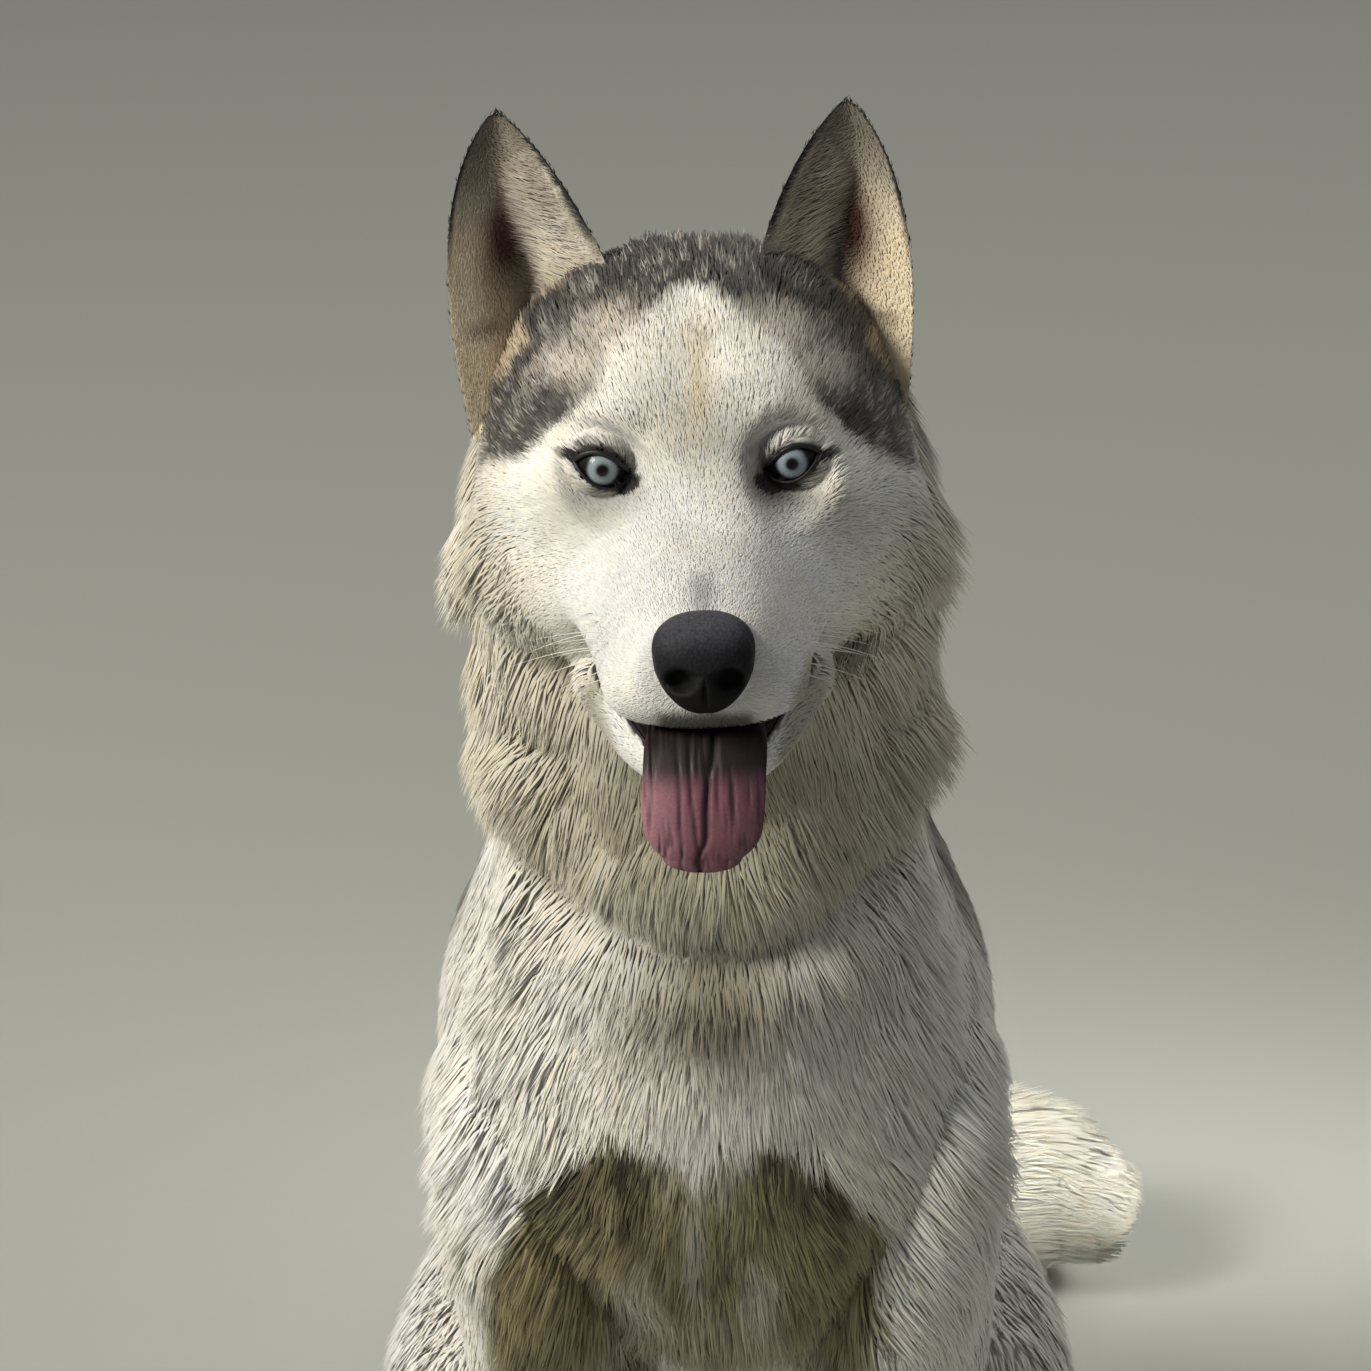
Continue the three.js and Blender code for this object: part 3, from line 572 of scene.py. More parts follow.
def joined(meshes: Iterable[Mesh], name: str) -> Mesh:
    """Puts several meshes into one, in their order.

    Args:
        meshes: The meshes, which go.
        name: The name of the new one.

    Returns:
        The new mesh.
    """
    work = bmesh.new()
    for mesh in meshes:
        work.from_mesh(mesh)
        bpy.data.meshes.remove(mesh)
    bmesh.ops.recalc_face_normals(work, faces=work.faces)
    whole = bpy.data.meshes.new(name)
    work.to_mesh(whole)
    work.free()
    return whole


def as_object(mesh: Mesh, name: str) -> bpy.types.Object:
    """A new object for a mesh."""
    thing = bpy.data.objects.new(name, mesh)
    mesh.name = name
    bpy.context.scene.collection.objects.link(thing)
    return thing


def applied(thing: bpy.types.Object) -> Mesh:
    """The mesh of an object with its modifiers applied. The object goes."""
    graph = bpy.context.evaluated_depsgraph_get()
    mesh = bpy.data.meshes.new_from_object(thing.evaluated_get(graph))
    bpy.data.objects.remove(thing)
    return mesh


def smooth(mesh: Mesh) -> None:
    """Shades a mesh smoothly."""
    mesh.polygons.foreach_set("use_smooth", np.ones(len(mesh.polygons), bool))


def paint(mesh: Mesh, colours: Array) -> None:
    """Writes a linear colour for each corner into a mesh's colour attribute."""
    attribute = mesh.color_attributes.new("hide_colour", "FLOAT_COLOR", "POINT")
    full = np.concatenate([colours, np.ones((len(colours), 1))], 1)
    attribute.data.foreach_set("color", full.astype(np.float32).ravel())


def dress(thing: bpy.types.Object, finish: Material, nodes: Sequence[str] = ()) -> None:
    """Dresses a piece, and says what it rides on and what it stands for.

    Args:
        thing: The piece.
        finish: Its material.
        nodes: The nodes of the solids that it takes the place of.
    """
    thing.data.materials.clear()
    thing.data.materials.append(finish)
    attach(thing, "root")
    if nodes:
        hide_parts(*nodes)
    LOG.info("%s: %d faces", thing.name, len(thing.data.polygons))


def add_piece(
    mesh: Mesh,
    name: str,
    finish: Material,
    nodes: Sequence[str] = (),
    on_head: bool = True,
) -> None:
    """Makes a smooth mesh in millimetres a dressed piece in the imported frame.

    Args:
        mesh: The mesh.
        name: The piece's name.
        finish: Its material.
        nodes: The nodes of the solids that it takes the place of.
        on_head: Whether the mesh is in the head's frame, not the dog's.
    """
    smooth(mesh)
    places = places_of(mesh)
    place_all(mesh, Room.metres(from_head(places) if on_head else places))
    dress(as_object(mesh, name), finish, nodes)


# Toes and claws of a paw, across and along it.
TOES = ((-25, -24), (-9, -36), (9, -36), (25, -24))


@dataclass(frozen=True)
class Paw:
    """A paw: a rounded pad with four toes, pointing forward before it is turned."""

    at: tuple[float, float, float]
    turn: float = 0.0
    scale: float = 1.0

    def placed(self, mesh: Mesh) -> Mesh:
        """Puts a mesh of the paw's own frame in its place.

        Args:
            mesh: The mesh.

        Returns:
            The same mesh.
        """
        mesh.transform(
            Matrix.Translation(self.at)
            @ Matrix.Rotation(self.turn, 4, "Z")
            @ Matrix.Scale(self.scale, 4)
        )
        return mesh

    def meshes(self) -> list[Mesh]:
        """The pad and the toes."""
        pieces = [shaped_ball((0, 4, 20), (32, 41, 24))]
        for x, y in TOES:
            turn = Matrix.Rotation(-x * 0.006, 4, "Z")
            pieces.append(shaped_ball((x, y, 16), (11.8, 23, 17), turn))
        return [self.placed(piece) for piece in pieces]


FRONT_PAWS = tuple(Paw((55 * side, -6, 0), 0.06 * side) for side in (1, -1))
HIND_PAWS = tuple(Paw((139 * side, 96, 0), 0.12 * side, 0.93) for side in (1, -1))


@dataclass(frozen=True)
class Ear:
    """An upright ear: a leaf between an inner and an outer edge, bent back into a cup."""

    side: int
    lean: float = -5.0
    cup: float = 0.27
    skin: float = 3.4

    @staticmethod
    def edge(t: Array, corners: Rows) -> Array:
        """A curve through three handles."""
        a, b, c = np.array(corners, float)
        t = t[:, None]
        return a * (1 - t) ** 2 + 2 * b * t * (1 - t) + c * t**2

    def point(self, t: Array, across: Array, face: Array) -> Array:
        """Points of the ear in the dog's frame.

        Args:
            t: From 0 at the root to 1 at the tip.
            across: From 0 at the inner edge to 1 at the outer one.
            face: From -1 inside the cup to 1 on its back.

        Returns:
            One point for each place.
        """
        side, lean = self.side, self.lean
        top = 65 * side + lean
        tip = 119.5
        inner = self.edge(
            t, [(25 * side + lean / 2, 60, 54), (40 * side + lean, 62, 100), (top - 2 * side, 70, tip)]
        )
        outer = self.edge(
            t, [(80 * side + lean / 2, 64, -6), (97 * side + lean, 62, 86), (top + 2 * side, 70, tip)]
        )
        chord = np.linalg.norm(outer - inner, axis=1)
        bend = 1 - (2 * across - 1) ** 2
        cup = self.cup * (1 - 0.5 * ramp(across, 0.45, 0.9) * (1 - t))
        skin = 1.0 + (self.skin * (1 - 0.5 * t) - 1.0) * np.sqrt(np.maximum(bend, 0))
        places = inner + (outer - inner) * across[:, None]
        canal = 9 * np.exp(-(((t - 0.2) / 0.16) ** 2) - ((across - 0.42) / 0.2) ** 2)
        places[:, 1] += chord * cup * bend + canal + face * skin / 2
        return from_head(places)

    def shell(self) -> tuple[Mesh, Array]:
        """The ear's closed skin, and for each corner its t, across and face."""
        mesh, polar, angle = ball(56, 60)
        t = 1 - polar
        across = 0.5 - 0.5 * np.cos(angle)
        place_all(mesh, self.point(t, across, np.sin(angle)))
        return mesh, np.stack([t, across, np.sin(angle)], 1)


class Region(Enum):
    """The parts of the coat that are kept as pieces of their own."""

    FACE = 0
    CROWN = 1
    CHEEKS = 2
    NECK = 3
    CHEST = 4
    BACK = 5
    FLANKS = 6
    THIGHS = 7
    FORELEGS = 8
    HIND_LEGS = 9
    TAIL = 10
    EARS = 11


# What each guide of the coat says beside the way it lies: its length, how far its tips stand off
# the skin as a share of its length, the width of a tuft and how densely tufts grow, as a share.
GUIDE_FIELDS = ("length", "rise", "width", "density")

FELT_CELL = 4.0  # the guides are felt once for all the places of a cell of this many millimetres
FELT_CHUNK = 2000  # cells that are worked out at a time


@dataclass
class Guides:
    """Places on the lofts that say how the coat lies about them."""

    at: list[Array] = field(default_factory=list)
    way: list[Array] = field(default_factory=list)
    values: list[Array] = field(default_factory=list)
    region: list[Array] = field(default_factory=list)
    reach: list[Array] = field(default_factory=list)

    def add(
        self,
        loft: Loft,
        flow: int,
        region: Callable[[Array, Array, Array], Array],
        pull: Callable[[Array], Array] | None = None,
        reach: float = 20.0,
        step: float = 0.5,
        **tables: Sequence[float],
    ) -> None:
        """Adds guides over a loft.

        Args:
            loft: The form they lie on.
            flow: 1 where the coat lies towards the last station, -1 towards the first.
            region: Gives the region of each guide from s, angle and place.
            pull: Gives what is added to the way the coat lies at each place.
            reach: How far a guide is felt, in millimetres.
            step: How far apart the guides are, in stations.
            tables: Lists along the loft for each of GUIDE_FIELDS.
        """
        s, angle = np.meshgrid(
            np.arange(-0.6, loft.last + 0.61, step), np.arange(0, 2 * math.pi, math.pi / 12)
        )
        s, angle = s.ravel(), angle.ravel()
        depth = -loft.along_table(loft.depth, s)
        place = loft.point(s, angle, depth)
        way = loft.point(s + NEARBY, angle, depth) - loft.point(s - NEARBY, angle, depth)
        way = unit(way * flow)
        if pull is not None:
            way = unit(way + pull(place))
        self.at.append(place)
        self.way.append(way)
        columns = [loft.along_table(tables[name], s) for name in GUIDE_FIELDS]
        self.values.append(np.stack(columns, 1))
        self.region.append(region(s, angle, place))
        self.reach.append(np.full(len(s), reach))

    def felt(self, places: Array) -> tuple[Array, Array, Array]:
        """Blends the guides at places.

        Args:
            places: Points in the dog's frame.

        Returns:
            The way, the values of GUIDE_FIELDS and the region at each place.
        """
        cells, back = np.unique(np.round(places / FELT_CELL), axis=0, return_inverse=True)
        cells = (cells * FELT_CELL).astype(np.float32)
        at = np.concatenate(self.at).astype(np.float32)
        table = np.concatenate([np.concatenate(self.way), np.concatenate(self.values)], 1)
        table = table.astype(np.float32)
        region = np.concatenate(self.region)
        closeness = 2 / np.concatenate(self.reach).astype(np.float32) ** 2
        blended = np.empty((len(cells), table.shape[1]))
        found = np.empty(len(cells), int)
        for start in range(0, len(cells), FELT_CHUNK):
            chunk = cells[start : start + FELT_CHUNK]
            apart = (chunk**2).sum(1)[:, None] + (at**2).sum(1) - 2 * chunk @ at.T
            felt = np.maximum(apart, 0) * closeness
            share = np.exp(felt.min(1, keepdims=True) - felt)
            share /= share.sum(1, keepdims=True)
            blended[start : start + FELT_CHUNK] = share @ table
            found[start : start + FELT_CHUNK] = region[apart.argmin(1)]
        back = back.ravel()
        return unit(blended[:, :3])[back], blended[back, 3:], found[back]


def always(region: Region) -> Callable[[Array, Array, Array], Array]:
    """One region for a whole loft."""
    return lambda s, angle, place: np.full(len(s), region.value)


def trunk_region(s: Array, angle: Array, place: Array) -> Array:
    """Neck, chest, back or flanks, from where a place is on the trunk.

    Args:
        s: Places along the trunk's stations.
        angle: Directions round its rings.
        place: The same places in the dog's frame; not used.

    Returns:
        The number of each one's region.
    """
    front = -np.sin(angle)
    found = np.full(len(s), Region.FLANKS.value)
    found[front > 0.45] = Region.CHEST.value
    found[front < -0.35] = Region.BACK.value
    found[s > 11.6] = Region.NECK.value
    return found


def head_region(s: Array, angle: Array, place: Array) -> Array:
    """Face, crown or cheeks, from where a place is on the head."""
    head = to_head(place)
    found = np.full(len(s), Region.FACE.value)
    found[head[:, 1] > 26] = Region.CROWN.value
    found[(head[:, 1] > 14) & (head[:, 2] < 4)] = Region.CHEEKS.value
    return found


def trunk_pull(place: Array) -> Array:
    """The coat of chest and neck fans out from the middle line."""
    front = ramp(-place[:, 1], -60, 40)
    fan = 0.5 * np.clip(place[:, 0] / 80, -1, 1) * front
    return np.stack([fan, 0 * fan, 0 * fan], 1)


def head_pull(place: Array) -> Array:
    """The coat of the cheeks falls, that of the brows rises, and both turn outwards.

    Args:
        place: Points in the dog's frame.

    Returns:
        What is added to the way the coat lies at each.
    """
    head = to_head(place)
    side = np.sign(head[:, 0]) * ramp(np.abs(head[:, 0]), 6, 50)
    cheek = ramp(-head[:, 2], -5, 40) * ramp(head[:, 1], -60, 20)
    brow = ramp(head[:, 2], 2, 24) * ramp(head[:, 1], -30, 5)
    pull = np.stack([side * (0.35 + 0.5 * cheek), 0 * side, 0.35 * brow - 0.9 * cheek], 1)
    return pull @ HEAD_TURN.T


def coat_guides() -> Guides:
    """The guides of the whole coat but the ears'.

    Returns:
        The guides.
    """
    guides = Guides()
    guides.add(
        TRUNK, -1, trunk_region, trunk_pull,
        length=(14, 18, 22, 24, 26, 27, 28, 29, 30, 32, 34, 34),
        rise=(0.25, 0.25, 0.24, 0.22, 0.2, 0.19, 0.18, 0.18, 0.18, 0.18, 0.19, 0.2),
        width=(1.6, 1.6, 1.6, 1.55, 1.5, 1.5, 1.45, 1.4, 1.35, 1.3, 1.3, 1.3),
        density=(16, 19, 23, 28, 33, 38, 42, 42, 44, 46, 48, 48),
    )
    guides.add(
        SKULL, 1, head_region, head_pull,
        reach=11.0,
        length=(3.0, 3.4, 4, 4.6, 5.2, 6.0, 7.2, 9, 13, 19, 24, 26),
        rise=(0.14, 0.14, 0.13, 0.12, 0.11, 0.1, 0.1, 0.12, 0.2, 0.28, 0.3, 0.3),
        width=(0.55, 0.6, 0.66, 0.72, 0.78, 0.84, 0.92, 1.0, 1.1, 1.2, 1.3, 1.3),
        density=(150, 150, 145, 140, 130, 120, 110, 95, 75, 55, 45, 40),
    )
    guides.add(
        JAW, 1, always(Region.CHEEKS), head_pull,
        reach=10.0,
        length=(3, 4, 5.5, 7.5, 11, 16, 22),
        rise=(0.2,),
        width=(0.6, 0.6, 0.7, 0.8, 0.95, 1.1, 1.2),
        density=(120, 110, 100, 90, 75, 60, 50),
    )
    guides.add(
        TAIL, 1, always(Region.TAIL),
        length=(30, 34, 38, 40, 38, 30, 21),
        rise=(0.3, 0.3, 0.32, 0.34, 0.36, 0.36, 0.3),
        width=(1.7,),
        density=(22, 26, 34, 44, 54, 64, 72),
    )
    for side in (1, -1):
        guides.add(
            FORELEG.on(side), -1, always(Region.FORELEGS),
            reach=14.0,
            length=(5, 6, 8, 9, 11, 14, 17, 20, 23, 26, 28),
            rise=(0.22, 0.22, 0.22, 0.22, 0.22, 0.23, 0.24, 0.25, 0.26, 0.26, 0.26),
            width=(0.9, 1.0, 1.05, 1.1, 1.15, 1.2, 1.25, 1.3, 1.3, 1.3, 1.3),
            density=(26, 26, 24, 22, 22, 22, 24, 28, 32, 34, 34),
        )
        guides.add(
            THIGH.on(side), 1, always(Region.THIGHS),
            lambda place: np.tile((0.0, 0.0, -0.7), (len(place), 1)),
            length=(26, 27, 27, 25, 22, 18),
            rise=(0.27,),
            width=(1.7,),
            density=(15,),
        )
        guides.add(
            SHANK.on(side), 1, always(Region.HIND_LEGS),
            reach=14.0,
            length=(14, 12, 11, 9, 8),
            rise=(0.24,),
            width=(1.4, 1.3, 1.2, 1.2, 1.1),
            density=(16,),
        )
        guides.add(
            HIND_FOOT.on(side), 1, always(Region.HIND_LEGS),
            reach=13.0,
            length=(8, 8, 7, 6, 5, 4.5),
            rise=(0.22,),
            width=(1.1, 1.1, 1.0, 0.95, 0.9, 0.9),
            density=(18,),
        )
    return guides


def mixed(base: Array, code: str, share: Array) -> Array:
    """Lays a colour over others.

    Args:
        base: Linear colours, one row each.
        code: The sRGB hex colour that is laid over them.
        share: How much of it shows in each row.

    Returns:
        The new colours.
    """
    share = np.clip(share, 0, 1)[:, None]
    return base * (1 - share) + linear(code) * share


def layered(base: str, layers: Iterable[tuple[str, Array]]) -> Array:
    """Lays colours over a plain one, in their order.

    Args:
        base: The sRGB hex colour below them all.
        layers: The colour and the share of each layer.

    Returns:
        One linear colour for each place.
    """
    colour = linear(base)[None, :]
    for code, share in layers:
        colour = mixed(colour, code, share)
    return colour


def spot(x: Array, y: Array, at: Sequence[float], size: Sequence[float]) -> Array:
    """A soft round spot of 1 at its middle."""
    return np.exp(-(((x - at[0]) / size[0]) ** 2) - ((y - at[1]) / size[1]) ** 2)


def as_seen(offsets: Array) -> tuple[Array, Array]:
    """Where places fall across and up the photograph, in millimetres from between the eyes.

    Args:
        offsets: Places measured from between the eyes, along the dog's own axes.

    Returns:
        Across to the right, and up.
    """
    high = math.cos(IMAGE_PITCH) * offsets[:, 2] + math.sin(IMAGE_PITCH) * offsets[:, 1]
    c, s = math.cos(IMAGE_ROLL), math.sin(IMAGE_ROLL)
    return offsets[:, 0] * c - high * s, offsets[:, 0] * s + high * c


def blobs(x: Array, y: Array, rows: Rows) -> Array:
    """The strongest of several soft spots, each given as a place and a size."""
    return np.max([spot(x, y, row[:2], row[2:]) for row in rows], axis=0)


@dataclass(frozen=True)
class Markings:
    """The colours of the coat, as areas on the head and the body. Some areas are painted shade or
    painted light, as their names say.
    """

    forehead: str = "f3efe5"
    muzzle: str = "e9e8e4"
    brow: str = "efece5"
    # Painted shade in the hollows between and under the eyes.
    eye_hollow_shade: str = "bcbaae"
    ear_base: str = "bfae92"
    temple: str = "494542"
    fade: str = "c8beb2"
    cap: str = "534e4b"
    charcoal: str = "2a2827"
    silver: str = "cbc5ba"
    tan: str = "cfc0a2"
    # A grey mark above the nose, and painted shade under the dog's left eye.
    grey_mark_and_shade: str = "7f7f84"
    liner: str = "1b191a"
    # Grey round the eyes: partly tear stains, partly painted shade.
    tear_stain_and_shade: str = "77757a"
    cheek: str = "d8d4c3"
    # Darker olive beige under the chin and the jaw: painted shade over the throat's own beige.
    throat_shade: str = "918c74"
    # Painted shade under the fold of the ruff, on the middle of the chest.
    olive_shade_under_ruff: str = "6e6a54"
    ruff: str = "e6dfcd"
    chest: str = "f5f1e7"
    dirt: str = "2f2618"
    stain: str = "8f8459"
    saddle: str = "736e6b"
    leg: str = "f3f0e8"
    plume: str = "faf4e4"
    mouth: str = "1d1012"
    shadow: str = "45433b"
    nose_bed: str = "1d1b1d"
    ear_inside: str = "aaa293"
    ear_pale: str = "d3ccbe"
    ear_fold: str = "857a6c"
    ear_deep: str = "5d5546"
    # Pale fur low on the cup, painted lighter as painted light.
    ear_fringe_painted_light: str = "f2e2c4"
    ear_tuft_painted_light: str = "efe6d2"
    ear_canal: str = "4a2c22"
    # Painted shade in the fold at the foot of the ear's outer edge.
    ear_crease_shade: str = "4a3d33"
    ear_back: str = "403c3c"
    ear_tip: str = "1f1c1d"
    ear_rim: str = "1c191a"

    def eyes(self, colour: Array, x: Array, v: Array, front: Array, rough: Array) -> Array:
        """Lays the dark rims and corners of the eyes over the face, with grey round them that is
        partly tear stains and partly painted shade.

        Args:
            colour: Linear colours, one row each.
            x: How far across each place is seen.
            v: How far up it is seen.
            front: 1 where a place is near the front of the face.
            rough: Noise that frays the edges, from -1 to 1.

        Returns:
            The new colours.
        """
        for side in (1, -1):
            out = x * side - EYE_APART
            up = v - 0.29 * out
            eye = np.hypot(out / 10.5, up / 7.3)
            # Painted shade over grey tear stains, at the inner corners and under each eye; it is
            # stronger on the dog's left side, which lies in shade.
            wet = blobs(out, v, ((-10, 2, 6, 9), (-9, -9, 9, 7))) * (0.52 + 0.12 * side)
            colour = mixed(colour, self.tear_stain_and_shade, wet * front)
            colour = mixed(colour, self.tear_stain_and_shade, spot(out, v, (3, -13), (13, 5)) * 0.35 * front)
            fold = np.exp(-(((eye - 1.62) / 0.13) ** 2)) * ramp(up, 2, 6)
            colour = mixed(colour, self.brow, fold * 0.15 * front)
            # A painted shade arc above each eye, under the brow.
            shade = np.exp(-(((eye - 2.0) / 0.16) ** 2)) * ramp(up, 4, 8)
            colour = mixed(colour, self.tear_stain_and_shade, shade * 0.3 * front)
            corners = (
                np.hypot((out + 9.6) / 5.0, (v + 7.4 + 0.4 * (out + 10)) / 3.6),
                np.hypot((out - 11.6) / 5.2, (v - 3.8 - 0.05 * (out - 11)) / 2.4),
                np.hypot((out + 4) / 8.0, (v + 7.8) / 2.4),
                eye / 1.1,
            )
            for corner in corners:
                rim = (1 - ramp(corner + 0.08 * rough, 0.8, 1.2)) * front
                colour = mixed(colour, self.liner, rim)
        return colour

    def face(self, head: Array, rough: Array, streak: Array) -> Array:
        """The colours of the head.

        Args:
            head: Places in the head's frame.
            rough: Noise that frays the edges of the areas, from -1 to 1.
            streak: Fine noise from 0 to 1 that mixes dark and pale hairs.

        Returns:
            One linear colour for each place.
        """
        y = head[:, 1]
        x, v = as_seen(head @ HEAD_TURN.T)
        wide = np.abs(x)
        brow_line = np.interp(wide, [20, 36, 52, 64, 81, 100], [40, 24, 13, 2.5, -2, -8])
        brow = spot(v - brow_line, 0 * v, (-7, 0), (6, 1)) * ramp(wide, 18, 34)
        layers = (
            # Painted shade: greyer beige in the hollow between the eyes and in those under them.
            (self.eye_hollow_shade, spot(x, v, (0, 10), (30, 20)) * 0.9),
            (self.eye_hollow_shade, spot(wide, v, (42, -20), (22, 14)) * 0.9),
            (self.tan, spot(x, v, (0.5, 30), (4.5, 20)) * 0.8),
            (self.muzzle, ramp(-y, 8, 40)),
            (self.cheek, ramp(y, 0, 45) * ramp(-v, -4, 25)),
            (self.ruff, ramp(wide, 52, 76) * ramp(-v, 20, 55)),
            # Painted shade low on the back of the head, towards the throat.
            (self.throat_shade, ramp(y, 30, 80) * ramp(-v, 25, 70) * 0.7),
            (self.brow, brow * 0.3),
        )
        colour = layered(self.forehead, layers)
        blaze = np.interp(v, [0, 30, 44, 55, 62, 67], [46, 37, 28, 17, 8, -8])
        dark = ramp(wide - blaze + 5 * rough, -4, 6) * ramp(v - brow_line + 4 * rough, -3, 4)
        cap = ramp(v + 3 * rough, 58, 68)
        fade = np.maximum(spot(wide, v, (30, 47), (14, 14)), spot(wide, v, (46, 36), (12, 8)))
        band = np.interp(wide, [20, 28, 36, 44], [74, 66, 61, 58])
        layers = (
            (self.fade, fade * 1.2),
            (self.cap, cap),
            (self.charcoal, ramp(streak, 0.5, 0.72) * (0.75 - 0.55 * fade)),
            (self.silver, ramp(1 - streak, 0.5, 0.74) * (0.45 + 0.25 * cap + 0.2 * fade)),
            (self.charcoal, spot(v - band, 0 * v, (0, 0), (3.5, 1)) * ramp(wide, 18, 24) * 0.8),
        )
        shade = layered(self.temple, layers)
        colour = colour * (1 - dark[:, None]) + shade * dark[:, None]
        ear_edge = np.interp(v, [24, 44, 52, 61, 79], [74, 57, 60, 50, 31]) + 1.5 * rough
        ear_base = ramp(wide - ear_edge, 0, 5) * ramp(v, 22, 30)
        colour = mixed(colour, self.ear_base, ear_base)
        colour = mixed(colour, self.cap, ear_base * ramp(streak, 0.48, 0.66) * 0.6)
        edge = spot(wide - ear_edge, 0 * v, (0, 0), (2.6, 1)) * ramp(v, 24, 32)
        colour = mixed(colour, self.charcoal, edge * 0.8)
        # A grey mark on the top of the muzzle, above the nose.
        colour = mixed(colour, self.grey_mark_and_shade, spot(x, v, (2, -46), (5, 9)) * ramp(-y, 60, 90) * 0.7)
        # Painted shade under the dog's left eye, on the side that lies in shade.
        colour = mixed(colour, self.grey_mark_and_shade, spot(x, v, (29, -22), (8, 14)) * ramp(-y, -10, 20) * 0.3)
        # Painted shade on the cheek fur under the jaw, beside the mouth.
        jaw = ramp(wide - np.interp(v, [-102, -66], [26, 37]), 0, 5) * ramp(-v, 64, 72)
        colour = mixed(colour, self.throat_shade, jaw * ramp(-y, -10, 20) * 0.75)
        below = ramp(20 - np.abs(x - 3), 0, 6) * ramp(v, -98.6, -96.8) * ramp(-v, 85, 90)
        colour = mixed(colour, self.shadow, below * ramp(-y, 84, 94) * 0.9)
        return self.eyes(colour, x, v, ramp(-y, -16, 0), rough)

    def body(self, places: Array, rough: Array, streak: Array) -> Array:
        """The colours of neck, trunk, legs and tail.

        Args:
            places: Places in the dog's frame.
            rough: Noise that frays the edges of the areas, from -1 to 1.
            streak: Fine noise from 0 to 1 that mixes dark and pale hairs.

        Returns:
            One linear colour for each place.
        """
        x, y, z = places.T
        u, v = as_seen(places - EYES_AT)
        wide = np.abs(x)
        front = ramp(-y, -30, 20)
        top = np.interp(np.abs(u), [0, 12, 30, 60, 80], [-266, -256, -252, -280, -310])
        low = ramp(top - v + 4 * rough, -3, 5) * front
        lobes = (
            (-34, -280, 30, 34), (-54, -318, 30, 42), (36, -280, 30, 34), (56, -318, 32, 42),
            (0, -300, 22, 40),
        )
        soiled = np.clip(1.5 * blobs(u, v, lobes), 0, 1)
        soiled = np.maximum(soiled, 0.95 * spot(u, v, (0, -352), (84, 46)))
        soiled = soiled * ramp(-np.abs(u), -78, -68)
        veins = ramp(streak, 0.46, 0.62)
        crusts = (
            (-28, -263, 18, 8), (-42, -274, 10, 16), (-22, -282, 7, 20), (31, -261, 13, 9),
            (43, -274, 11, 16),
        )
        layers = (
            (self.ruff, ramp(z, 450, 500)),
            # Painted shade under the chin, on the front of the neck.
            (self.throat_shade, spot(u, v, (4, -130), (62, 52)) * front),
            # Painted shade under the fold of the ruff, on the middle of the chest.
            (self.olive_shade_under_ruff, spot(u, v, (6, -204), (34, 28)) * front * 0.9),
            (self.leg, ramp(wide, 50, 85) * ramp(-z, -520, -440) * 0.8),
            (self.leg, ramp(-z, -300, -220)),
            (self.stain, soiled * low * 0.95),
            (self.dirt, blobs(u, v, crusts) * low * (0.7 + 0.5 * veins)),
            (self.dirt, soiled * low * veins * 0.6),
            (self.chest, spot(u, v, (-1, -292), (3, 32)) * front * 0.4),
        )
        colour = layered(self.chest, layers)
        heights = TRUNK.at[:, 2]
        middle = np.interp(z, heights, TRUNK.at[:, 1])
        depth = np.interp(z, heights, TRUNK.half[:, 1])
        edge = np.where(x > 0, -0.12, 0.05)
        above = (y - middle) / depth - edge + 0.14 * rough
        saddle = ramp(above, -0.08, 0.16) * ramp(z, 95, 190)
        thigh = ramp(wide + 6 * rough, 58, 88) * ramp(-z + 0.1 * y + 10 * rough, -240, -170)
        saddle = saddle * (1 - 0.92 * thigh) * (1 - ramp(y, 392, 430))
        layers = (
            (self.charcoal, ramp(streak, 0.48, 0.72) * 0.7),
            (self.silver, ramp(1 - streak, 0.5, 0.76) * 0.6),
            (self.charcoal, ramp(above, 0.5, 0.95) * 0.35),
        )
        shade = layered(self.saddle, layers)
        colour = colour * (1 - saddle[:, None]) + shade * saddle[:, None]
        colour = mixed(colour, self.plume, ramp(y, 395, 440))
        tail_top = ramp(y, 388, 420) * (1 - ramp(y, 440, 500)) * ramp(z, 84, 112)
        colour = mixed(colour, self.saddle, tail_top * 0.8)
        groin = spot(x, z, (86, 60), (20, 34)) * spot(y, 0 * y, (150, 0), (60, 1))
        return mixed(colour, self.temple, groin * 0.7)

    def whole(self, places: Array) -> Array:
        """The colour of the coat at places in the dog's frame.

        Args:
            places: Places in the dog's frame.

        Returns:
            One linear colour for each place.
        """
        rough = noise(places, 15, 1) + noise(places, 6, 2) - 1
        fine = places * np.array([1.0, 1.0, 0.5])
        streak = 0.6 * noise(fine, 1.3, 3) + 0.4 * noise(fine, 5, 4)
        head = to_head(places)
        ahead = (places - np.array([0, -14, 640])) @ unit(np.array([0, -0.78, 0.62]))
        on_head = ramp(ahead + 6 * rough, -18, 12)[:, None]
        face, body = self.face(head, rough, streak), self.body(places, rough, streak)
        return face * on_head + body * (1 - on_head)

    def ear(self, t: Array, across: Array, face: Array, places: Array) -> Array:
        """The colours of an ear: a dark rim and back, a pale cup and a reddish canal, with painted
        light low on the cup and painted shade in its fold.

        Args:
            t: From 0 at the root to 1 at the tip.
            across: From 0 at the inner edge to 1 at the outer one.
            face: Below 0 inside the cup and above 0 on its back.
            places: Places in the dog's frame.

        Returns:
            One linear colour for each place.
        """
        streak = noise(places * np.array([1.0, 1.0, 0.4]), 2.2, 5)
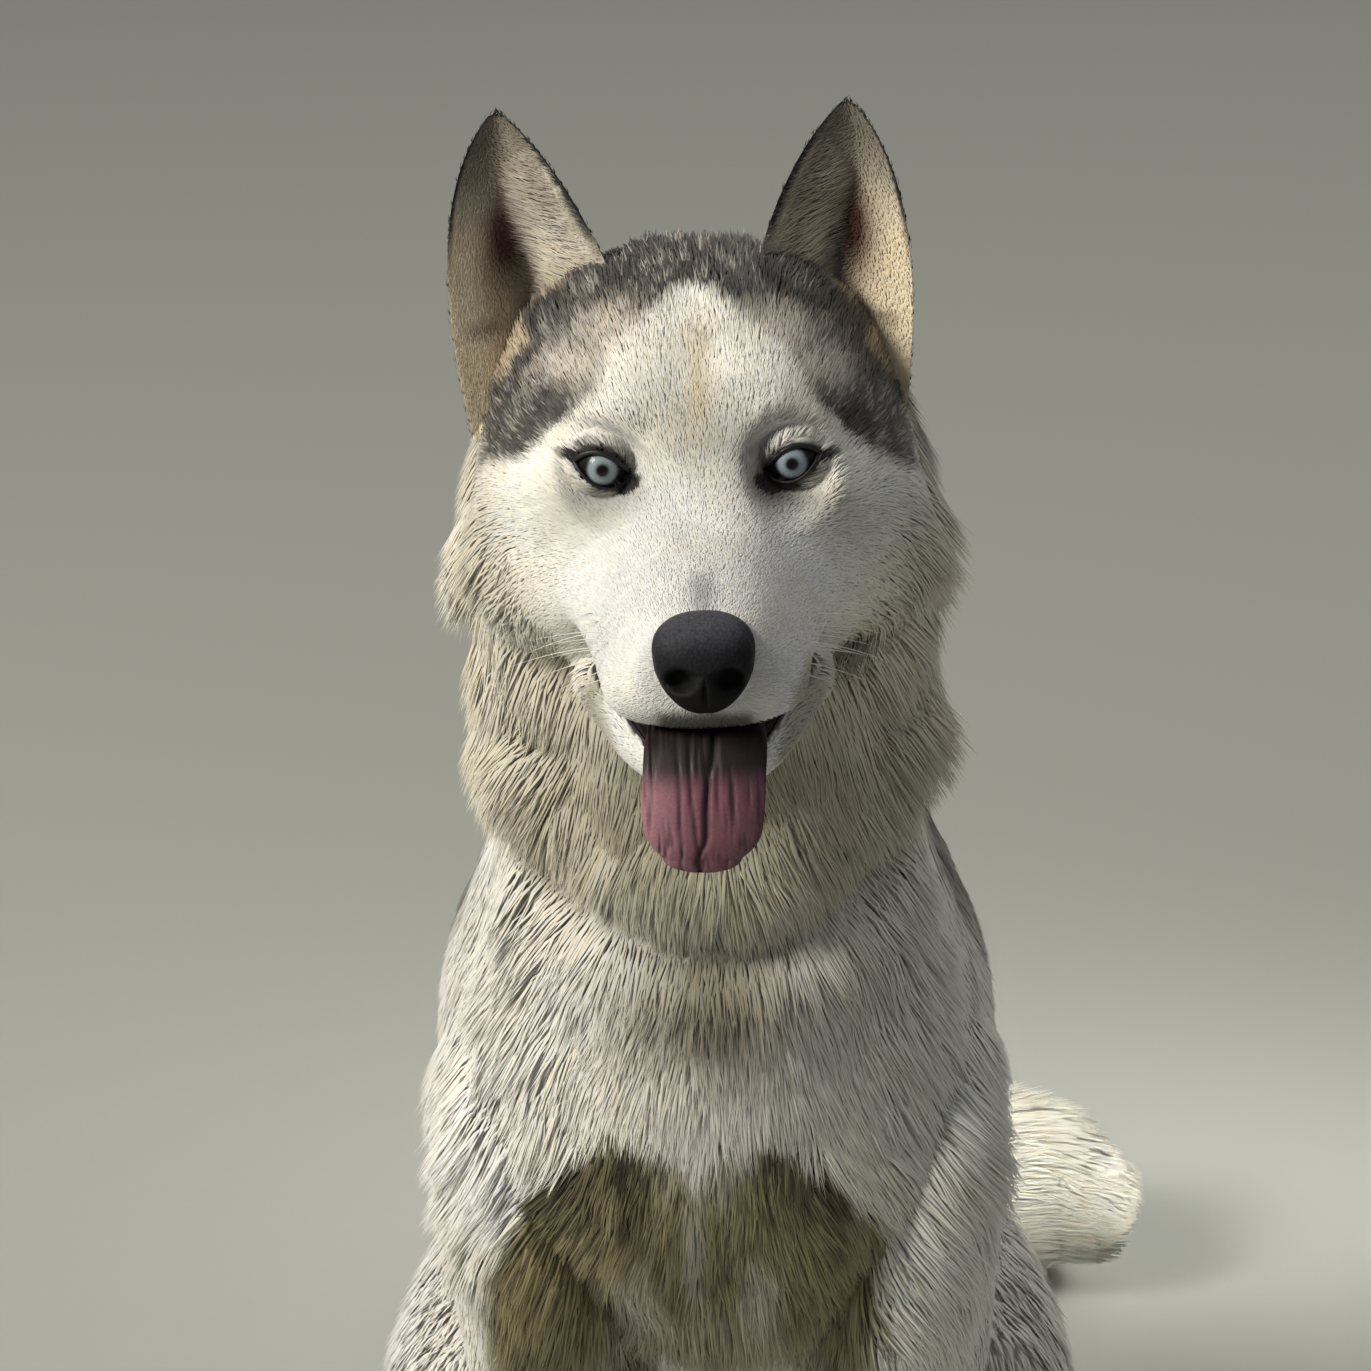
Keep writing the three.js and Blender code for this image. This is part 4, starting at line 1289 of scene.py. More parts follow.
        # Painted shade: a thin dark line in the fold at the foot of the outer edge.
        crease = np.exp(-(((t - 0.2 - 0.25 * (across - 0.8)) / 0.02) ** 2))
        crease = crease * ramp(across, 0.6, 0.76) * ramp(-across, -0.96, -0.84) * 0.6
        layers = (
            (self.ear_pale, ramp(streak, 0.5, 0.8) * ramp(-across, -0.6, -0.3) * 0.8),
            (self.ear_fold, spot(t, across, (0.5, 0.5), (0.26, 0.2)) * 0.7),
            (self.ear_deep, ramp(t, 0.55, 0.85) * 0.7),
            # Pale fur low on the outer half and near the root of the cup, painted lighter as painted
            # light.
            (self.ear_fringe_painted_light, ramp(across, 0.45, 0.66) * ramp(-t, -0.7, -0.4)),
            (self.ear_tuft_painted_light, spot(t, across, (0.2, 0.22), (0.14, 0.18)) * 0.7),
            (self.ear_canal, spot(t, across, (0.4, 0.55), (0.18, 0.2)) * 1.15),
            (self.ear_crease_shade, crease),
        )
        inside = layered(self.ear_inside, layers)
        layers = (
            (self.cap, ramp(streak, 0.5, 0.8) * 0.5),
            (self.ear_tip, ramp(t, 0.4, 0.9) * 0.8),
        )
        colour = np.where((face < 0)[:, None], inside, layered(self.ear_back, layers))
        rim = np.maximum(ramp(np.abs(2 * across - 1), 0.9, 0.97), ramp(t, 0.94, 0.98))
        rim = rim * ramp(t, 0.1, 0.3) * np.where(across > 0.5, ramp(t, 0.3, 0.6), 1)
        return mixed(colour, self.ear_rim, rim)


@dataclass
class Hide:
    """The bare skin as arrays, with what its coat needs at each corner."""

    places: Array
    faces: Array
    normals: Array
    unwrap: Array
    colours: Array
    way: Array
    values: Array
    region: Array


# Extra forms pressed into the head's skin: place, reach and push, in the head's frame. Those off
# the middle line are made on both sides.
HEAD_FORMS = (
    ((0, -44, -12), 10, (0, 0, -1.2)), ((17, -82, -40), 11, (1.6, 0, 0.6)),
    ((27, -40, -26), 10, (-1.8, 0, 0)), ((22, -12, 8), 7, (0, 2.2, 0)),
    ((36, -8, 19), 9, (0, -2.6, 0)), ((52, 10, 4), 12, (-1.5, 2.5, 0)),
    ((56, 18, -24), 14, (1.6, -2.0, 0)), ((0, 30, 46), 9, (0, 1.6, -1.6)),
    ((14, 34, 48), 10, (0, -1.0, 1.0)),
)


@dataclass(frozen=True)
class Crease:
    """A fold of the loose hide in front, with the hide above it standing out."""

    line: tuple[tuple[float, float], ...]
    reach: float
    deep: float
    swell: float = 0.0

    def push(self, places: Array, normals: Array) -> Array:
        """How far the fold pushes the skin out.

        Args:
            places: Points in the dog's frame.
            normals: The directions off the skin.

        Returns:
            Millimetres along each normal.
        """
        x, z = places[:, 0], places[:, 2]
        far = np.full(len(x), 1e6)
        above = np.zeros(len(x))
        for (ax, az), (bx, bz) in zip(self.line, self.line[1:]):
            run_x, run_z = bx - ax, bz - az
            share = ((x - ax) * run_x + (z - az) * run_z) / (run_x**2 + run_z**2)
            share = np.clip(share, 0, 1)
            off_x, off_z = x - ax - share * run_x, z - az - share * run_z
            apart = np.hypot(off_x, off_z)
            above = np.where(apart < far, off_z, above)
            far = np.minimum(apart, far)
        dent = self.deep * np.exp(-((far / self.reach) ** 2))
        brim = np.exp(-(((above - 2.2 * self.reach) / (1.6 * self.reach)) ** 2))
        near = np.exp(-((np.maximum(far - 3 * self.reach, 0) / (2 * self.reach)) ** 2))
        return (self.swell * brim * near - dent) * ramp(-normals[:, 1], -0.1, 0.35)


# The lower edge of the ruff, and the folds between the cheeks and the throat.
CREASES = (
    Crease(((-72, 500), (-46, 478), (-15, 466), (20, 466), (52, 480), (76, 504)), 11, 5.0, 6.0),
    Crease(((-78, 582), (-66, 560), (-52, 532), (-36, 512)), 9, 3.2, 2.0),
    Crease(((82, 590), (74, 562), (62, 536), (50, 520)), 9, 3.2, 2.0),
)


# Forms pressed into the body's skin, as place, reach and push in the dog's frame, on both sides:
# the chest runs on into the tops of the forelegs.
BODY_FORMS = (
    ((46, -46, 345), 40, (0, -17, 0)), ((50, -36, 296), 38, (0, -11, 0)),
    ((0, -36, 312), 30, (0, -13, 0)),
)


class Skin:
    """One skin under the whole coat, from the nose to the tip of the tail."""

    voxel = 0.0024
    faces_wanted = 168_000
    paired = ("foreleg", "forepaw", "thigh", "hind_leg", "hind_paw")
    nodes = (
        *("head", "neck", "jaw", "ear_left", "ear_right", "torso", "tail_root", "tail_tip"),
        *(f"{part}_{side}" for part in paired for side in ("left", "right")),
    )

    def __init__(self, markings: Markings, guides: Guides) -> None:
        """Builds the skin.

        Args:
            markings: Colours the skin and the coat.
            guides: Say how the coat lies.
        """
        self.markings = markings
        self.guides = guides
        self.ears = [Ear(side) for side in (1, -1)]
        self.thing = self.build()

    def flesh(self) -> Mesh:
        """All the forms of the body as overlapping closed shells.

        Returns:
            One mesh, in millimetres of the dog's frame.
        """
        shells = [
            loft_shell(TRUNK, 72, 150),
            loft_shell(SKULL, 96, 120),
            loft_shell(JAW, 64, 60),
            loft_shell(TAIL, 40, 70),
        ]
        for side in (1, -1):
            shells += [loft_shell(limb.on(side), *limb.detail) for limb in LIMBS]
        for paw in FRONT_PAWS + HIND_PAWS:
            shells += paw.meshes()
        return joined(shells, "flesh")

    def remeshed(self) -> Mesh:
        """The forms as one even surface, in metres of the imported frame.

        Returns:
            The new mesh.
        """
        flesh = self.flesh()
        place_all(flesh, Room.metres(places_of(flesh)))
        thing = as_object(flesh, "flesh")
        even = thing.modifiers.new("one surface", "REMESH")
        even.mode = "VOXEL"
        even.voxel_size = self.voxel
        even.use_smooth_shade = True
        soft = thing.modifiers.new("softened", "SMOOTH")
        soft.factor = 0.5
        soft.iterations = 6
        return applied(thing)

    def pressed(self, mesh: Mesh) -> None:
        """Presses the folds, the finer forms of the head and the eyes' beds into the skin.

        Args:
            mesh: The skin, which is changed in place.
        """
        places = Room.dog(places_of(mesh))
        normals = read_all(mesh.vertex_normals, "vector", 3, np.float32)
        for crease in CREASES:
            places = places + normals * crease.push(places, normals)[:, None]
        head = pressed_by(to_head(pressed_by(places, BODY_FORMS)), HEAD_FORMS)
        for side in (1, -1):
            out = (head[:, 0] - EYE_APART * side) * side
            up = head[:, 2]
            far = np.hypot(out, up)
            near = (far < 24) & (head[:, 1] < 30)
            bed = EYE_DEPTH - np.sqrt(np.maximum((EYE_RADIUS + 1.2) ** 2 - far**2, 9))
            share = 1 - ramp(far, 9, 20)
            pressed = head[:, 1] * (1 - share) + bed * share
            pressed = np.where(Almond.inside(out, up) < 1.0, EYE_DEPTH + 2, pressed)
            head[:, 1] = np.where(near, pressed, head[:, 1])
        places = from_head(head)
        places[:, 2] = np.maximum(places[:, 2], 0.4)
        place_all(mesh, Room.metres(places))

    def thinned(self, mesh: Mesh) -> Mesh:
        """Makes the body's skin coarser than the head's, in one surface.

        Args:
            mesh: The skin, which goes.

        Returns:
            The new skin.
        """
        count = sum(len(p.vertices) - 2 for p in mesh.polygons)
        head = to_head(Room.dog(places_of(mesh)))
        thing = as_object(mesh, "thinned")
        group = thing.vertex_groups.new(name="coarse")
        body = np.nonzero((head[:, 1] > 60) | (head[:, 2] < -112))[0]
        group.add([int(i) for i in body], 1.0, "REPLACE")
        fewer = thing.modifiers.new("fewer faces", "DECIMATE")
        fewer.ratio = min(1.0, self.faces_wanted / count)
        fewer.vertex_group = "coarse"
        fewer.vertex_group_factor = 4.0
        return applied(thing)

    def build(self) -> bpy.types.Object:
        """Makes the skin, unwraps it and reads it as arrays.

        Returns:
            The skin's object.
        """
        mesh = self.remeshed()
        self.pressed(mesh)
        mesh = self.thinned(mesh)
        count = len(mesh.vertices)
        shells, facts = [], []
        for ear in self.ears:
            shell, fact = ear.shell()
            place_all(shell, Room.metres(places_of(shell)))
            shells.append(shell)
            facts.append(fact)
        whole = joined([mesh, *shells], "skin")
        work = bmesh.new()
        work.from_mesh(whole)
        bmesh.ops.triangulate(work, faces=work.faces)
        work.to_mesh(whole)
        work.free()
        thing = as_object(whole, "skin")
        self.unwrap(thing)
        self.hide = self.read(whole, count, facts)
        paint(whole, self.hide.colours)
        smooth(whole)
        return thing

    @staticmethod
    def unwrap(thing: bpy.types.Object) -> None:
        """Unwraps the skin by its own shape.

        Args:
            thing: The skin.
        """
        thing.data.uv_layers.new(name="OFBake")
        bpy.context.view_layer.objects.active = thing
        thing.select_set(True)
        bpy.ops.object.mode_set(mode="EDIT")
        bpy.ops.mesh.select_all(action="SELECT")
        bpy.ops.uv.smart_project(angle_limit=math.radians(80), island_margin=0.0005)
        bpy.ops.object.mode_set(mode="OBJECT")

    def read(self, mesh: Mesh, body_count: int, ears: list[Array]) -> Hide:
        """Reads the skin as arrays, with the coat's guides felt at each corner.

        Args:
            mesh: The skin.
            body_count: How many of its corners come before the ears'.
            ears: The t, across and face of each ear's corners.

        Returns:
            The arrays.
        """
        places = Room.dog(places_of(mesh))
        faces = read_all(mesh.loops, "vertex_index", 1, np.int32)
        unwrap = read_all(mesh.uv_layers["OFBake"].data, "uv", 2, np.float32)
        normals = read_all(mesh.vertex_normals, "vector", 3, np.float32).astype(float)
        way, values, region = self.guides.felt(places)
        way = self.bush_out(places, way, values)
        colours = self.markings.whole(places)
        start = body_count
        for ear, fact in zip(self.ears, ears):
            t, across, face = fact.T
            span = slice(start, start + len(t))
            start += len(t)
            colours[span] = self.markings.ear(t, across, face, places[span])
            step = np.full(len(t), 0.03)
            tip = ear.point(np.minimum(t + step, 1.0), across, face)
            way[span] = unit(tip - ear.point(np.maximum(t - step, 0.0), across, face))
            inside = (face < 0) & (t < 0.85)
            fan = ear.point(t, np.minimum(across + 0.05, 1), face) - ear.point(t, across, face)
            way[span] += np.where(inside & (across < 0.6), 0.9, 0.0)[:, None] * unit(fan)
            long = inside * ramp(-across, -0.55, -0.2) * ramp(-t, -0.75, -0.5)
            long = long * ramp(across, 0.07, 0.15)
            values[span, 0] = 3.2 + 11 * long
            values[span, 1] = 0.28 + 0.15 * long
            values[span, 2] = 0.62 + 0.2 * long
            values[span, 3] = 85 - 25 * long
            region[span] = Region.EARS.value
        self.bare(places, normals, values, colours)
        unwrap = unwrap.reshape(-1, 3, 2).astype(float)
        return Hide(places, faces.reshape(-1, 3), normals, unwrap, colours, way, values, region)

    def bush_out(self, places: Array, way: Array, values: Array) -> Array:
        """Lets the long fur of the cheeks stand off, down to the ruff.

        Args:
            places: Places of the skin in the dog's frame.
            way: The way the coat lies at each of them.
            values: The GUIDE_FIELDS of each, which are changed in place.

        Returns:
            The new ways.
        """
        head = to_head(places)
        x, y, z = head.T
        bush = ramp(np.abs(x), 44, 64) * ramp(y, 2, 30) * (1 - ramp(y, 78, 104)) * ramp(-z, 6, 34)
        values[:, 0] += (33 - values[:, 0]) * bush
        values[:, 1] += (0.5 - values[:, 1]) * bush
        values[:, 3] += 14 * bush
        brisket = ramp(-places[:, 2], -345, -300) * ramp(-places[:, 1], -20, 30)
        brisket = brisket * (1 - ramp(np.abs(places[:, 0]), 30, 52))
        values[:, 0] += 26 * brisket
        pull = np.stack([0.55 * np.sign(x), 0 * x, np.full(len(x), -0.8)], 1) @ HEAD_TURN.T
        return unit(way + pull * bush[:, None] + np.array([0, 0, -0.8]) * brisket[:, None])

    def bare(self, places: Array, normals: Array, values: Array, colours: Array) -> None:
        """Takes the coat off the eyes' beds, the nose, the mouth and the soles.

        Args:
            places: Places of the skin in the dog's frame.
            normals: The directions off it.
            values: The GUIDE_FIELDS of each, which are changed in place.
            colours: The colour of each, which is changed in place.
        """
        head = to_head(places)
        turned = normals @ HEAD_TURN
        x, y, z = head.T
        for side in (1, -1):
            inside = Almond.inside((x - EYE_APART * side) * side, z) < 1.25
            hidden = inside & (y < 30)
            values[hidden, 3] = 0
            colours[hidden] = linear(self.markings.liner)
        nose = (y < -100) & ((x / 15.6) ** 2 + ((z + 46) / 14.8) ** 2 < 1)
        values[nose, 3] = 0
        colours[nose] = linear(self.markings.nose_bed)
        palate = (turned[:, 2] < -0.86) & (z < -60) & (z > -84) & (y < 0) & (np.abs(x) < 40)
        floor = (turned[:, 2] > 0.45) & (z < -56) & (y < 0) & (y > -100) & (np.abs(x) < 42)
        for part in (palate, floor):
            values[part, 3] = 0
            colours[part] = linear(self.markings.mouth)
        sole = (places[:, 2] < 4) & (normals[:, 2] < -0.5)
        values[sole, 3] = 0


class Almond:
    """The opening between an eye's lids, as seen from the front."""

    half_length = 9.9
    half_height = 6.0
    slant = 0.36

    @classmethod
    def inside(cls, out: Array, up: Array) -> Array:
        """Below 1 inside the opening. out and up are from the eye's centre, out away from the nose."""
        rise = up - cls.slant * out * 0.8 + 0.5
        span = np.clip(np.abs(out) / cls.half_length, 0, 1.6)
        height = cls.half_height * np.maximum(1 - span**2.2, 0.02)
        return np.maximum(span, np.abs(rise) / height)

    @classmethod
    def outline(cls, count: int, wider: float = 0.0) -> Array:
        """Points round the opening, as pairs of out and up.

        Args:
            count: How many points.
            wider: How far outside the opening they lie.

        Returns:
            One row for each point.
        """
        turn = np.linspace(0, 2 * math.pi, count, endpoint=False)
        out = (cls.half_length + wider) * np.cos(turn)
        span = np.abs(np.cos(turn))
        height = (cls.half_height + wider) * np.maximum(1 - span**2.2, 0.0)
        up = np.sign(np.sin(turn)) * height + cls.slant * out * 0.8 - 0.5
        return np.stack([out, up], 1)


@dataclass(frozen=True)
class Coat:
    """The coat as thin tufts of solid mesh, rooted in the skin and lying along it.

    A tuft is a spindle: a root under the skin, three corners where it is widest, and a tip.
    """

    hide: Hide
    markings: Markings
    finish: Material
    count: int
    most_in_piece: int = 32_000
    patch: float = 0.003
    widest: float = 0.4
    seed: int = 7

    def crowding(self, normals: Array) -> Array:
        """How much denser the coat is where it faces forward than where it faces back."""
        return 1 - 0.68 * np.clip(normals[:, 1], -1, 1)

    def roots(self, draw: np.random.Generator) -> tuple[Array, Array]:
        """Spreads the roots over the skin by how dense the coat is.

        Args:
            draw: Where the random numbers come from.

        Returns:
            The face of each root and its three shares of that face's corners.
        """
        hide = self.hide
        corners = hide.places[hide.faces]
        area = np.linalg.norm(
            np.cross(corners[:, 1] - corners[:, 0], corners[:, 2] - corners[:, 0]), axis=1
        )
        density = hide.values[hide.faces][:, :, 3]
        bald = (density <= 0).any(1)
        density = density.mean(1) * self.crowding(unit(hide.normals[hide.faces].mean(1)))
        share = np.where(bald, 0, area * density)
        total = np.cumsum(share) / share.sum()
        steps = (np.arange(self.count) + draw.random(self.count)) / self.count
        face = np.minimum(np.searchsorted(total, steps), len(total) - 1)
        a, b = draw.random((2, self.count))
        over = a + b > 1
        a, b = np.where(over, 1 - a, a), np.where(over, 1 - b, b)
        return face, np.stack([1 - a - b, a, b], 1)

    @staticmethod
    def leaders(roots: Array, every: int, draw: np.random.Generator) -> Array:
        """Finds the tuft that each tuft gathers round, as locks of a coat do.

        Args:
            roots: Where the tufts grow.
            every: How many tufts gather round one.
            draw: Where the random numbers come from.

        Returns:
            The number of each tuft's leader.
        """
        seeds = draw.choice(len(roots), len(roots) // every, replace=False)
        tree = kdtree.KDTree(len(seeds))
        for i, seed in enumerate(seeds):
            tree.insert(roots[seed], i)
        tree.balance()
        return seeds[np.array([tree.find(root)[1] for root in roots])]

    @staticmethod
    def gathered(tips: Array, leader: Array, share: Array, most: float = 20.0) -> Array:
        """Draws the tips of tufts towards those of their leaders.

        Args:
            tips: The tips.
            leader: The number of each one's leader.
            share: How much of the way each one goes.
            most: The distance in millimetres that counts at most.

        Returns:
            The new tips.
        """
        pull = tips[leader] - tips
        size = np.linalg.norm(pull, axis=1, keepdims=True)
        return tips + pull * np.minimum(1, most / np.maximum(size, 0.001)) * share

    def grow(self) -> None:
        """Makes the coat, as pieces by region."""
        hide = self.hide
        draw = np.random.default_rng(self.seed)
        face, share = self.roots(draw)
        corner = hide.faces[face]

        def read(table: Array) -> Array:
            """Reads a table of the skin's corners at the roots."""
            return (table[corner] * share[:, :, None]).sum(1)

        root, out, way = read(hide.places), unit(read(hide.normals)), read(hide.way)
        values = read(hide.values)
        unwrap = (hide.unwrap[face] * share[:, :, None]).sum(1)
        region = hide.region[corner[:, 0]]
        count = len(root)
        wave = np.stack([noise(root, 26, seed) for seed in (21, 22, 23)], 1) - 0.5
        fine = np.stack([noise(root, 9, seed) for seed in (31, 32, 33)], 1) - 0.5
        loose = np.clip(values[:, :1] / 30, 0.2, 1)
        way = way + (wave * 0.6 + fine * 0.35) * loose + draw.normal(0, 0.09, (count, 3))
        way = unit(way - out * (way * out).sum(1)[:, None])
        length = values[:, 0] * (0.8 + 0.4 * draw.random(count)) * (0.88 + 0.24 * noise(root, 11, 41))
        rise = length * values[:, 1] * (0.8 + 0.4 * draw.random(count))
        width = values[:, 2] * (0.8 + 0.4 * draw.random(count)) / np.sqrt(self.crowding(out))
        across = unit(np.cross(out, way))
        sway = draw.normal(0, 0.08, count) * length

        def place(t: float) -> Array:
            """The middle line of each tuft, from its root at 0 to its tip at 1."""
            run = length * t * (1 - 0.08 * t)
            lift = rise * (2 * t - t * t)
            return root + way * run[:, None] + out * lift[:, None] + across * (sway * t * t)[:, None]

        straight = place(1.0)
        long = np.clip(values[:, :1] / 26, 0, 1)
        lock, strand = self.leaders(root, 90, draw), self.leaders(root, 11, draw)
        tips = straight + ((straight - root)[lock] - (straight - root)) * 0.34 * long
        tips = self.gathered(tips, strand, 0.24 * long)
        tips = self.gathered(tips, lock, 0.08 * long)
        middle = place(self.widest) + (tips - straight) * self.widest**1.5
        base = root - out * (0.6 + 0.6 * long)
        for line in (middle, tips):
            line[:, 2] = np.maximum(line[:, 2], 0.6)
        base[:, 2] = np.maximum(base[:, 2], 0.2)
        colours = self.markings.whole(root + way * (0.5 * length)[:, None])
        ears = region == Region.EARS.value
        colours[ears] = read(hide.colours)[ears]
        colours = self.varied(colours, root, strand, draw)
        order = np.argsort(region, kind="stable")
        for kind in Region:
            mine = order[region[order] == kind.value]
            parts = max(1, math.ceil(len(mine) / self.most_in_piece))
            for number, some in enumerate(np.array_split(mine, parts)):
                name = f"coat_{kind.name.lower()}_{number + 1}"
                rings = (base[some], middle[some], tips[some])
                facts = (across[some], out[some], way[some], width[some], unwrap[some], colours[some])
                dress(as_object(self.tufts(name, rings, *facts), name), self.finish)

    def varied(self, colours: Array, root: Array, strand: Array, draw: np.random.Generator) -> Array:
        """Varies the colour from tuft to tuft, from strand to strand and from patch to patch.

        Args:
            colours: The linear colour of each tuft.
            root: Where it grows.
            strand: The number of the tuft that leads its strand.
            draw: Where the random numbers come from.

        Returns:
            The new colours.
        """
        count = len(root)
        tone = 1 + 0.14 * (draw.random(count) - 0.5) + 0.1 * (noise(root, 10, 51) - 0.5)
        tone = tone + 0.14 * (draw.random(count)[strand] - 0.5)
        warm = 0.05 * (noise(root, 18, 52) - 0.5) + 0.02 * draw.normal(0, 1, count)
        tint = np.stack([1 + warm, np.ones(count), 1 - 1.6 * warm], 1)
        return np.clip(colours * tone[:, None] * tint, 0.004, 0.94)

    def tufts(
        self,
        name: str,
        rings: tuple[Array, Array, Array],
        across: Array,
        out: Array,
        way: Array,
        width: Array,
        unwrap: Array,
        colours: Array,
    ) -> Mesh:
        """Makes tufts, shaded softly as the skin under them turns.

        Args:
            name: The name of the mesh.
            rings: The roots, the middles of the widest places and the tips.
            across: The broad direction of each tuft.
            out: The direction off the skin.
            way: The direction from root to tip.
            width: The width of each tuft.
            unwrap: The place of each root on the unwrapped skin.
            colours: The linear colour of each tuft.

        Returns:
            One mesh with all of them.
        """
        base, middle, tips = rings
        count = len(base)
        corners = np.empty((count, 5, 3))
        facing = np.empty((count, 5, 3))
        corners[:, 0], corners[:, 4] = base, tips
        facing[:, 0], facing[:, 4] = out, unit(out + way * 0.25)
        for k, (aside, high) in enumerate(((1, -0.2), (0, 0.32), (-1, -0.2))):
            sideways = across * (width * 0.5 * aside)[:, None]
            corners[:, 1 + k] = middle + sideways + out * (width * 0.5 * high)[:, None]
            facing[:, 1 + k] = unit(out + across * 0.5 * aside)
        pattern = []
        for k in (1, 2, 3):
            n = k % 3 + 1
            pattern += [(0, n, k), (4, k, n)]
        pattern = np.array(pattern)
        faces = (np.arange(count)[:, None, None] * 5 + pattern).reshape(-1, 3)
        mesh = bpy.data.meshes.new(name)
        mesh.vertices.add(count * 5)
        mesh.loops.add(len(faces) * 3)
        mesh.polygons.add(len(faces))
        mesh.vertices.foreach_set("co", Room.metres(corners.reshape(-1, 3)).astype(np.float32).ravel())
        mesh.loops.foreach_set("vertex_index", faces.astype(np.int32).ravel())
        mesh.polygons.foreach_set("loop_start", np.arange(0, len(faces) * 3, 3, dtype=np.int32))
        mesh.update(calc_edges=True)
        layer = mesh.uv_layers.new(name="OFBake")
        turn = 2 * math.pi * np.arange(5) / 5
        spread = np.stack([np.cos(turn), np.sin(turn)], 1) * self.patch / 2
        spots = (unwrap[:, None, :] + spread)[:, pattern].reshape(-1, 2)
        layer.data.foreach_set("uv", spots.astype(np.float32).ravel())
        # Painted shade along each tuft: darker at its root, where the tufts shade one another, and on
        # its two lower corners; a little lighter at its tip.
        shade = np.array([0.84, 0.95, 1.0, 0.95, 1.05])
        paint(mesh, np.clip(colours[:, None, :] * shade[None, :, None], 0, 1).reshape(-1, 3))
        smooth(mesh)
        mesh.normals_split_custom_set_from_vertices(facing.reshape(-1, 3).astype(np.float32))
        return mesh


def add_node(
    tree: bpy.types.NodeTree,
    kind: str,
    values: dict | None = None,
    links: dict | None = None,
    **settings,
) -> bpy.types.Node:
    """Adds a node.

    Args:
        tree: The tree it goes into.
        kind: Its Blender type, less the word ShaderNode at its start.
        values: Values for its input sockets, by name or number.
        links: Output sockets for its input sockets, by name or number.
        settings: Its own settings.

    Returns:
        The node.
    """
    made = tree.nodes.new("ShaderNode" + kind)
    for name, value in settings.items():
        setattr(made, name, value)
    for name, value in (values or {}).items():
        made.inputs[name].default_value = value
    for name, source in (links or {}).items():
        tree.links.new(source, made.inputs[name])
    return made


def bare_material(name: str) -> tuple[Material, bpy.types.NodeTree]:
    """A material with an empty node tree."""
    material = bpy.data.materials.new(name)
    material.use_nodes = True
    material.node_tree.nodes.clear()
    return material, material.node_tree


@dataclass(frozen=True)
class FurFinish:
    """Dog hair: keratin strands with a soft sheen, coloured by the coat's own markings."""

    name: str = "husky hair"
    roughness: float = 0.62
    sheen: float = 0.18
    bump_mm: float = 0.0
    hairs_per_metre: float = 900.0

    def material(self) -> Material:
        """Builds the material.

        Returns:
            The material.
        """
        material, tree = bare_material(self.name)
        colour = add_node(tree, "Attribute", attribute_name="hide_colour")
        links = {"Base Color": colour.outputs["Color"]}
        if self.bump_mm:
            coords = add_node(tree, "TexCoord").outputs["Object"]
            values = {"Scale": self.hairs_per_metre, "Detail": 2.0}
            grain = add_node(tree, "TexNoise", values, {"Vector": coords})
            values = {"Strength": 0.6, "Distance": self.bump_mm * MM}
            bump = add_node(tree, "Bump", values, {"Height": grain.outputs["Fac"]})
            links["Normal"] = bump.outputs["Normal"]
        values = {
            "Roughness": self.roughness,
            "Specular IOR Level": 0.35,
            "Sheen Weight": self.sheen,
            "Sheen Roughness": 0.5,
        }
        shader = add_node(tree, "BsdfPrincipled", values, links)
        add_node(tree, "OutputMaterial", links={"Surface": shader.outputs[0]})
        return material


@dataclass(frozen=True)
class SkinFinish:
    """Bare dog skin, such as the nose, the lids, the lips and the tongue.

    Pebbles or wrinkles of a real size break its gloss. Where it is painted, its colours are laid
    over those of the mesh's own colour attribute.
    """

    name: str
    colour: str
    shade: str
    roughness: float
    grain_mm: float
    bump_mm: float
    wet: float = 0.0
    soft: float = 0.0
    gloss: float = 0.5
    stretch: tuple[float, float, float] = (1.0, 1.0, 1.0)
    pebbled: bool = False
    painted: bool = False

    def material(self) -> Material:
        """Builds the material.

        Returns:
            The material.
        """
        material, tree = bare_material(self.name)
        coords = add_node(tree, "TexCoord").outputs["Object"]
        placed = add_node(tree, "Mapping", {"Scale": self.stretch}, {"Vector": coords})
        links = {"Vector": placed.outputs[0]}
        values = {"Scale": 1 / (self.grain_mm * MM)}
        if self.pebbled:
            values |= {"Smoothness": 0.35}
            grain = add_node(tree, "TexVoronoi", values, links, feature="SMOOTH_F1")
        else:
            values |= {"Detail": 4.0, "Roughness": 0.6}
            grain = add_node(tree, "TexNoise", values, links)
        height = grain.outputs[0]
        values = {6: rgba(self.colour), 7: rgba(self.shade)}
        colour = add_node(tree, "Mix", values, {0: height}, data_type="RGBA")
        if self.painted:
            laid = add_node(tree, "Attribute", attribute_name="hide_colour").outputs["Color"]
            links = {6: colour.outputs[2], 7: laid}
            colour = add_node(tree, "Mix", {0: 1.0}, links, data_type="RGBA", blend_type="MULTIPLY")
        values = {"Strength": 0.8, "Distance": self.bump_mm * MM}
        bump = add_node(tree, "Bump", values, {"Height": height}, invert=self.pebbled)
        values = {
            "Roughness": self.roughness,
            "Specular IOR Level": self.gloss,
            "Coat Weight": self.wet,
            "Coat Roughness": 0.15,
            "Subsurface Weight": self.soft,
            "Subsurface Scale": 0.004,
        }
        links = {"Base Color": colour.outputs[2], "Normal": bump.outputs["Normal"]}
        shader = add_node(tree, "BsdfPrincipled", values, links)
        add_node(tree, "OutputMaterial", links={"Surface": shader.outputs[0]})
        return material


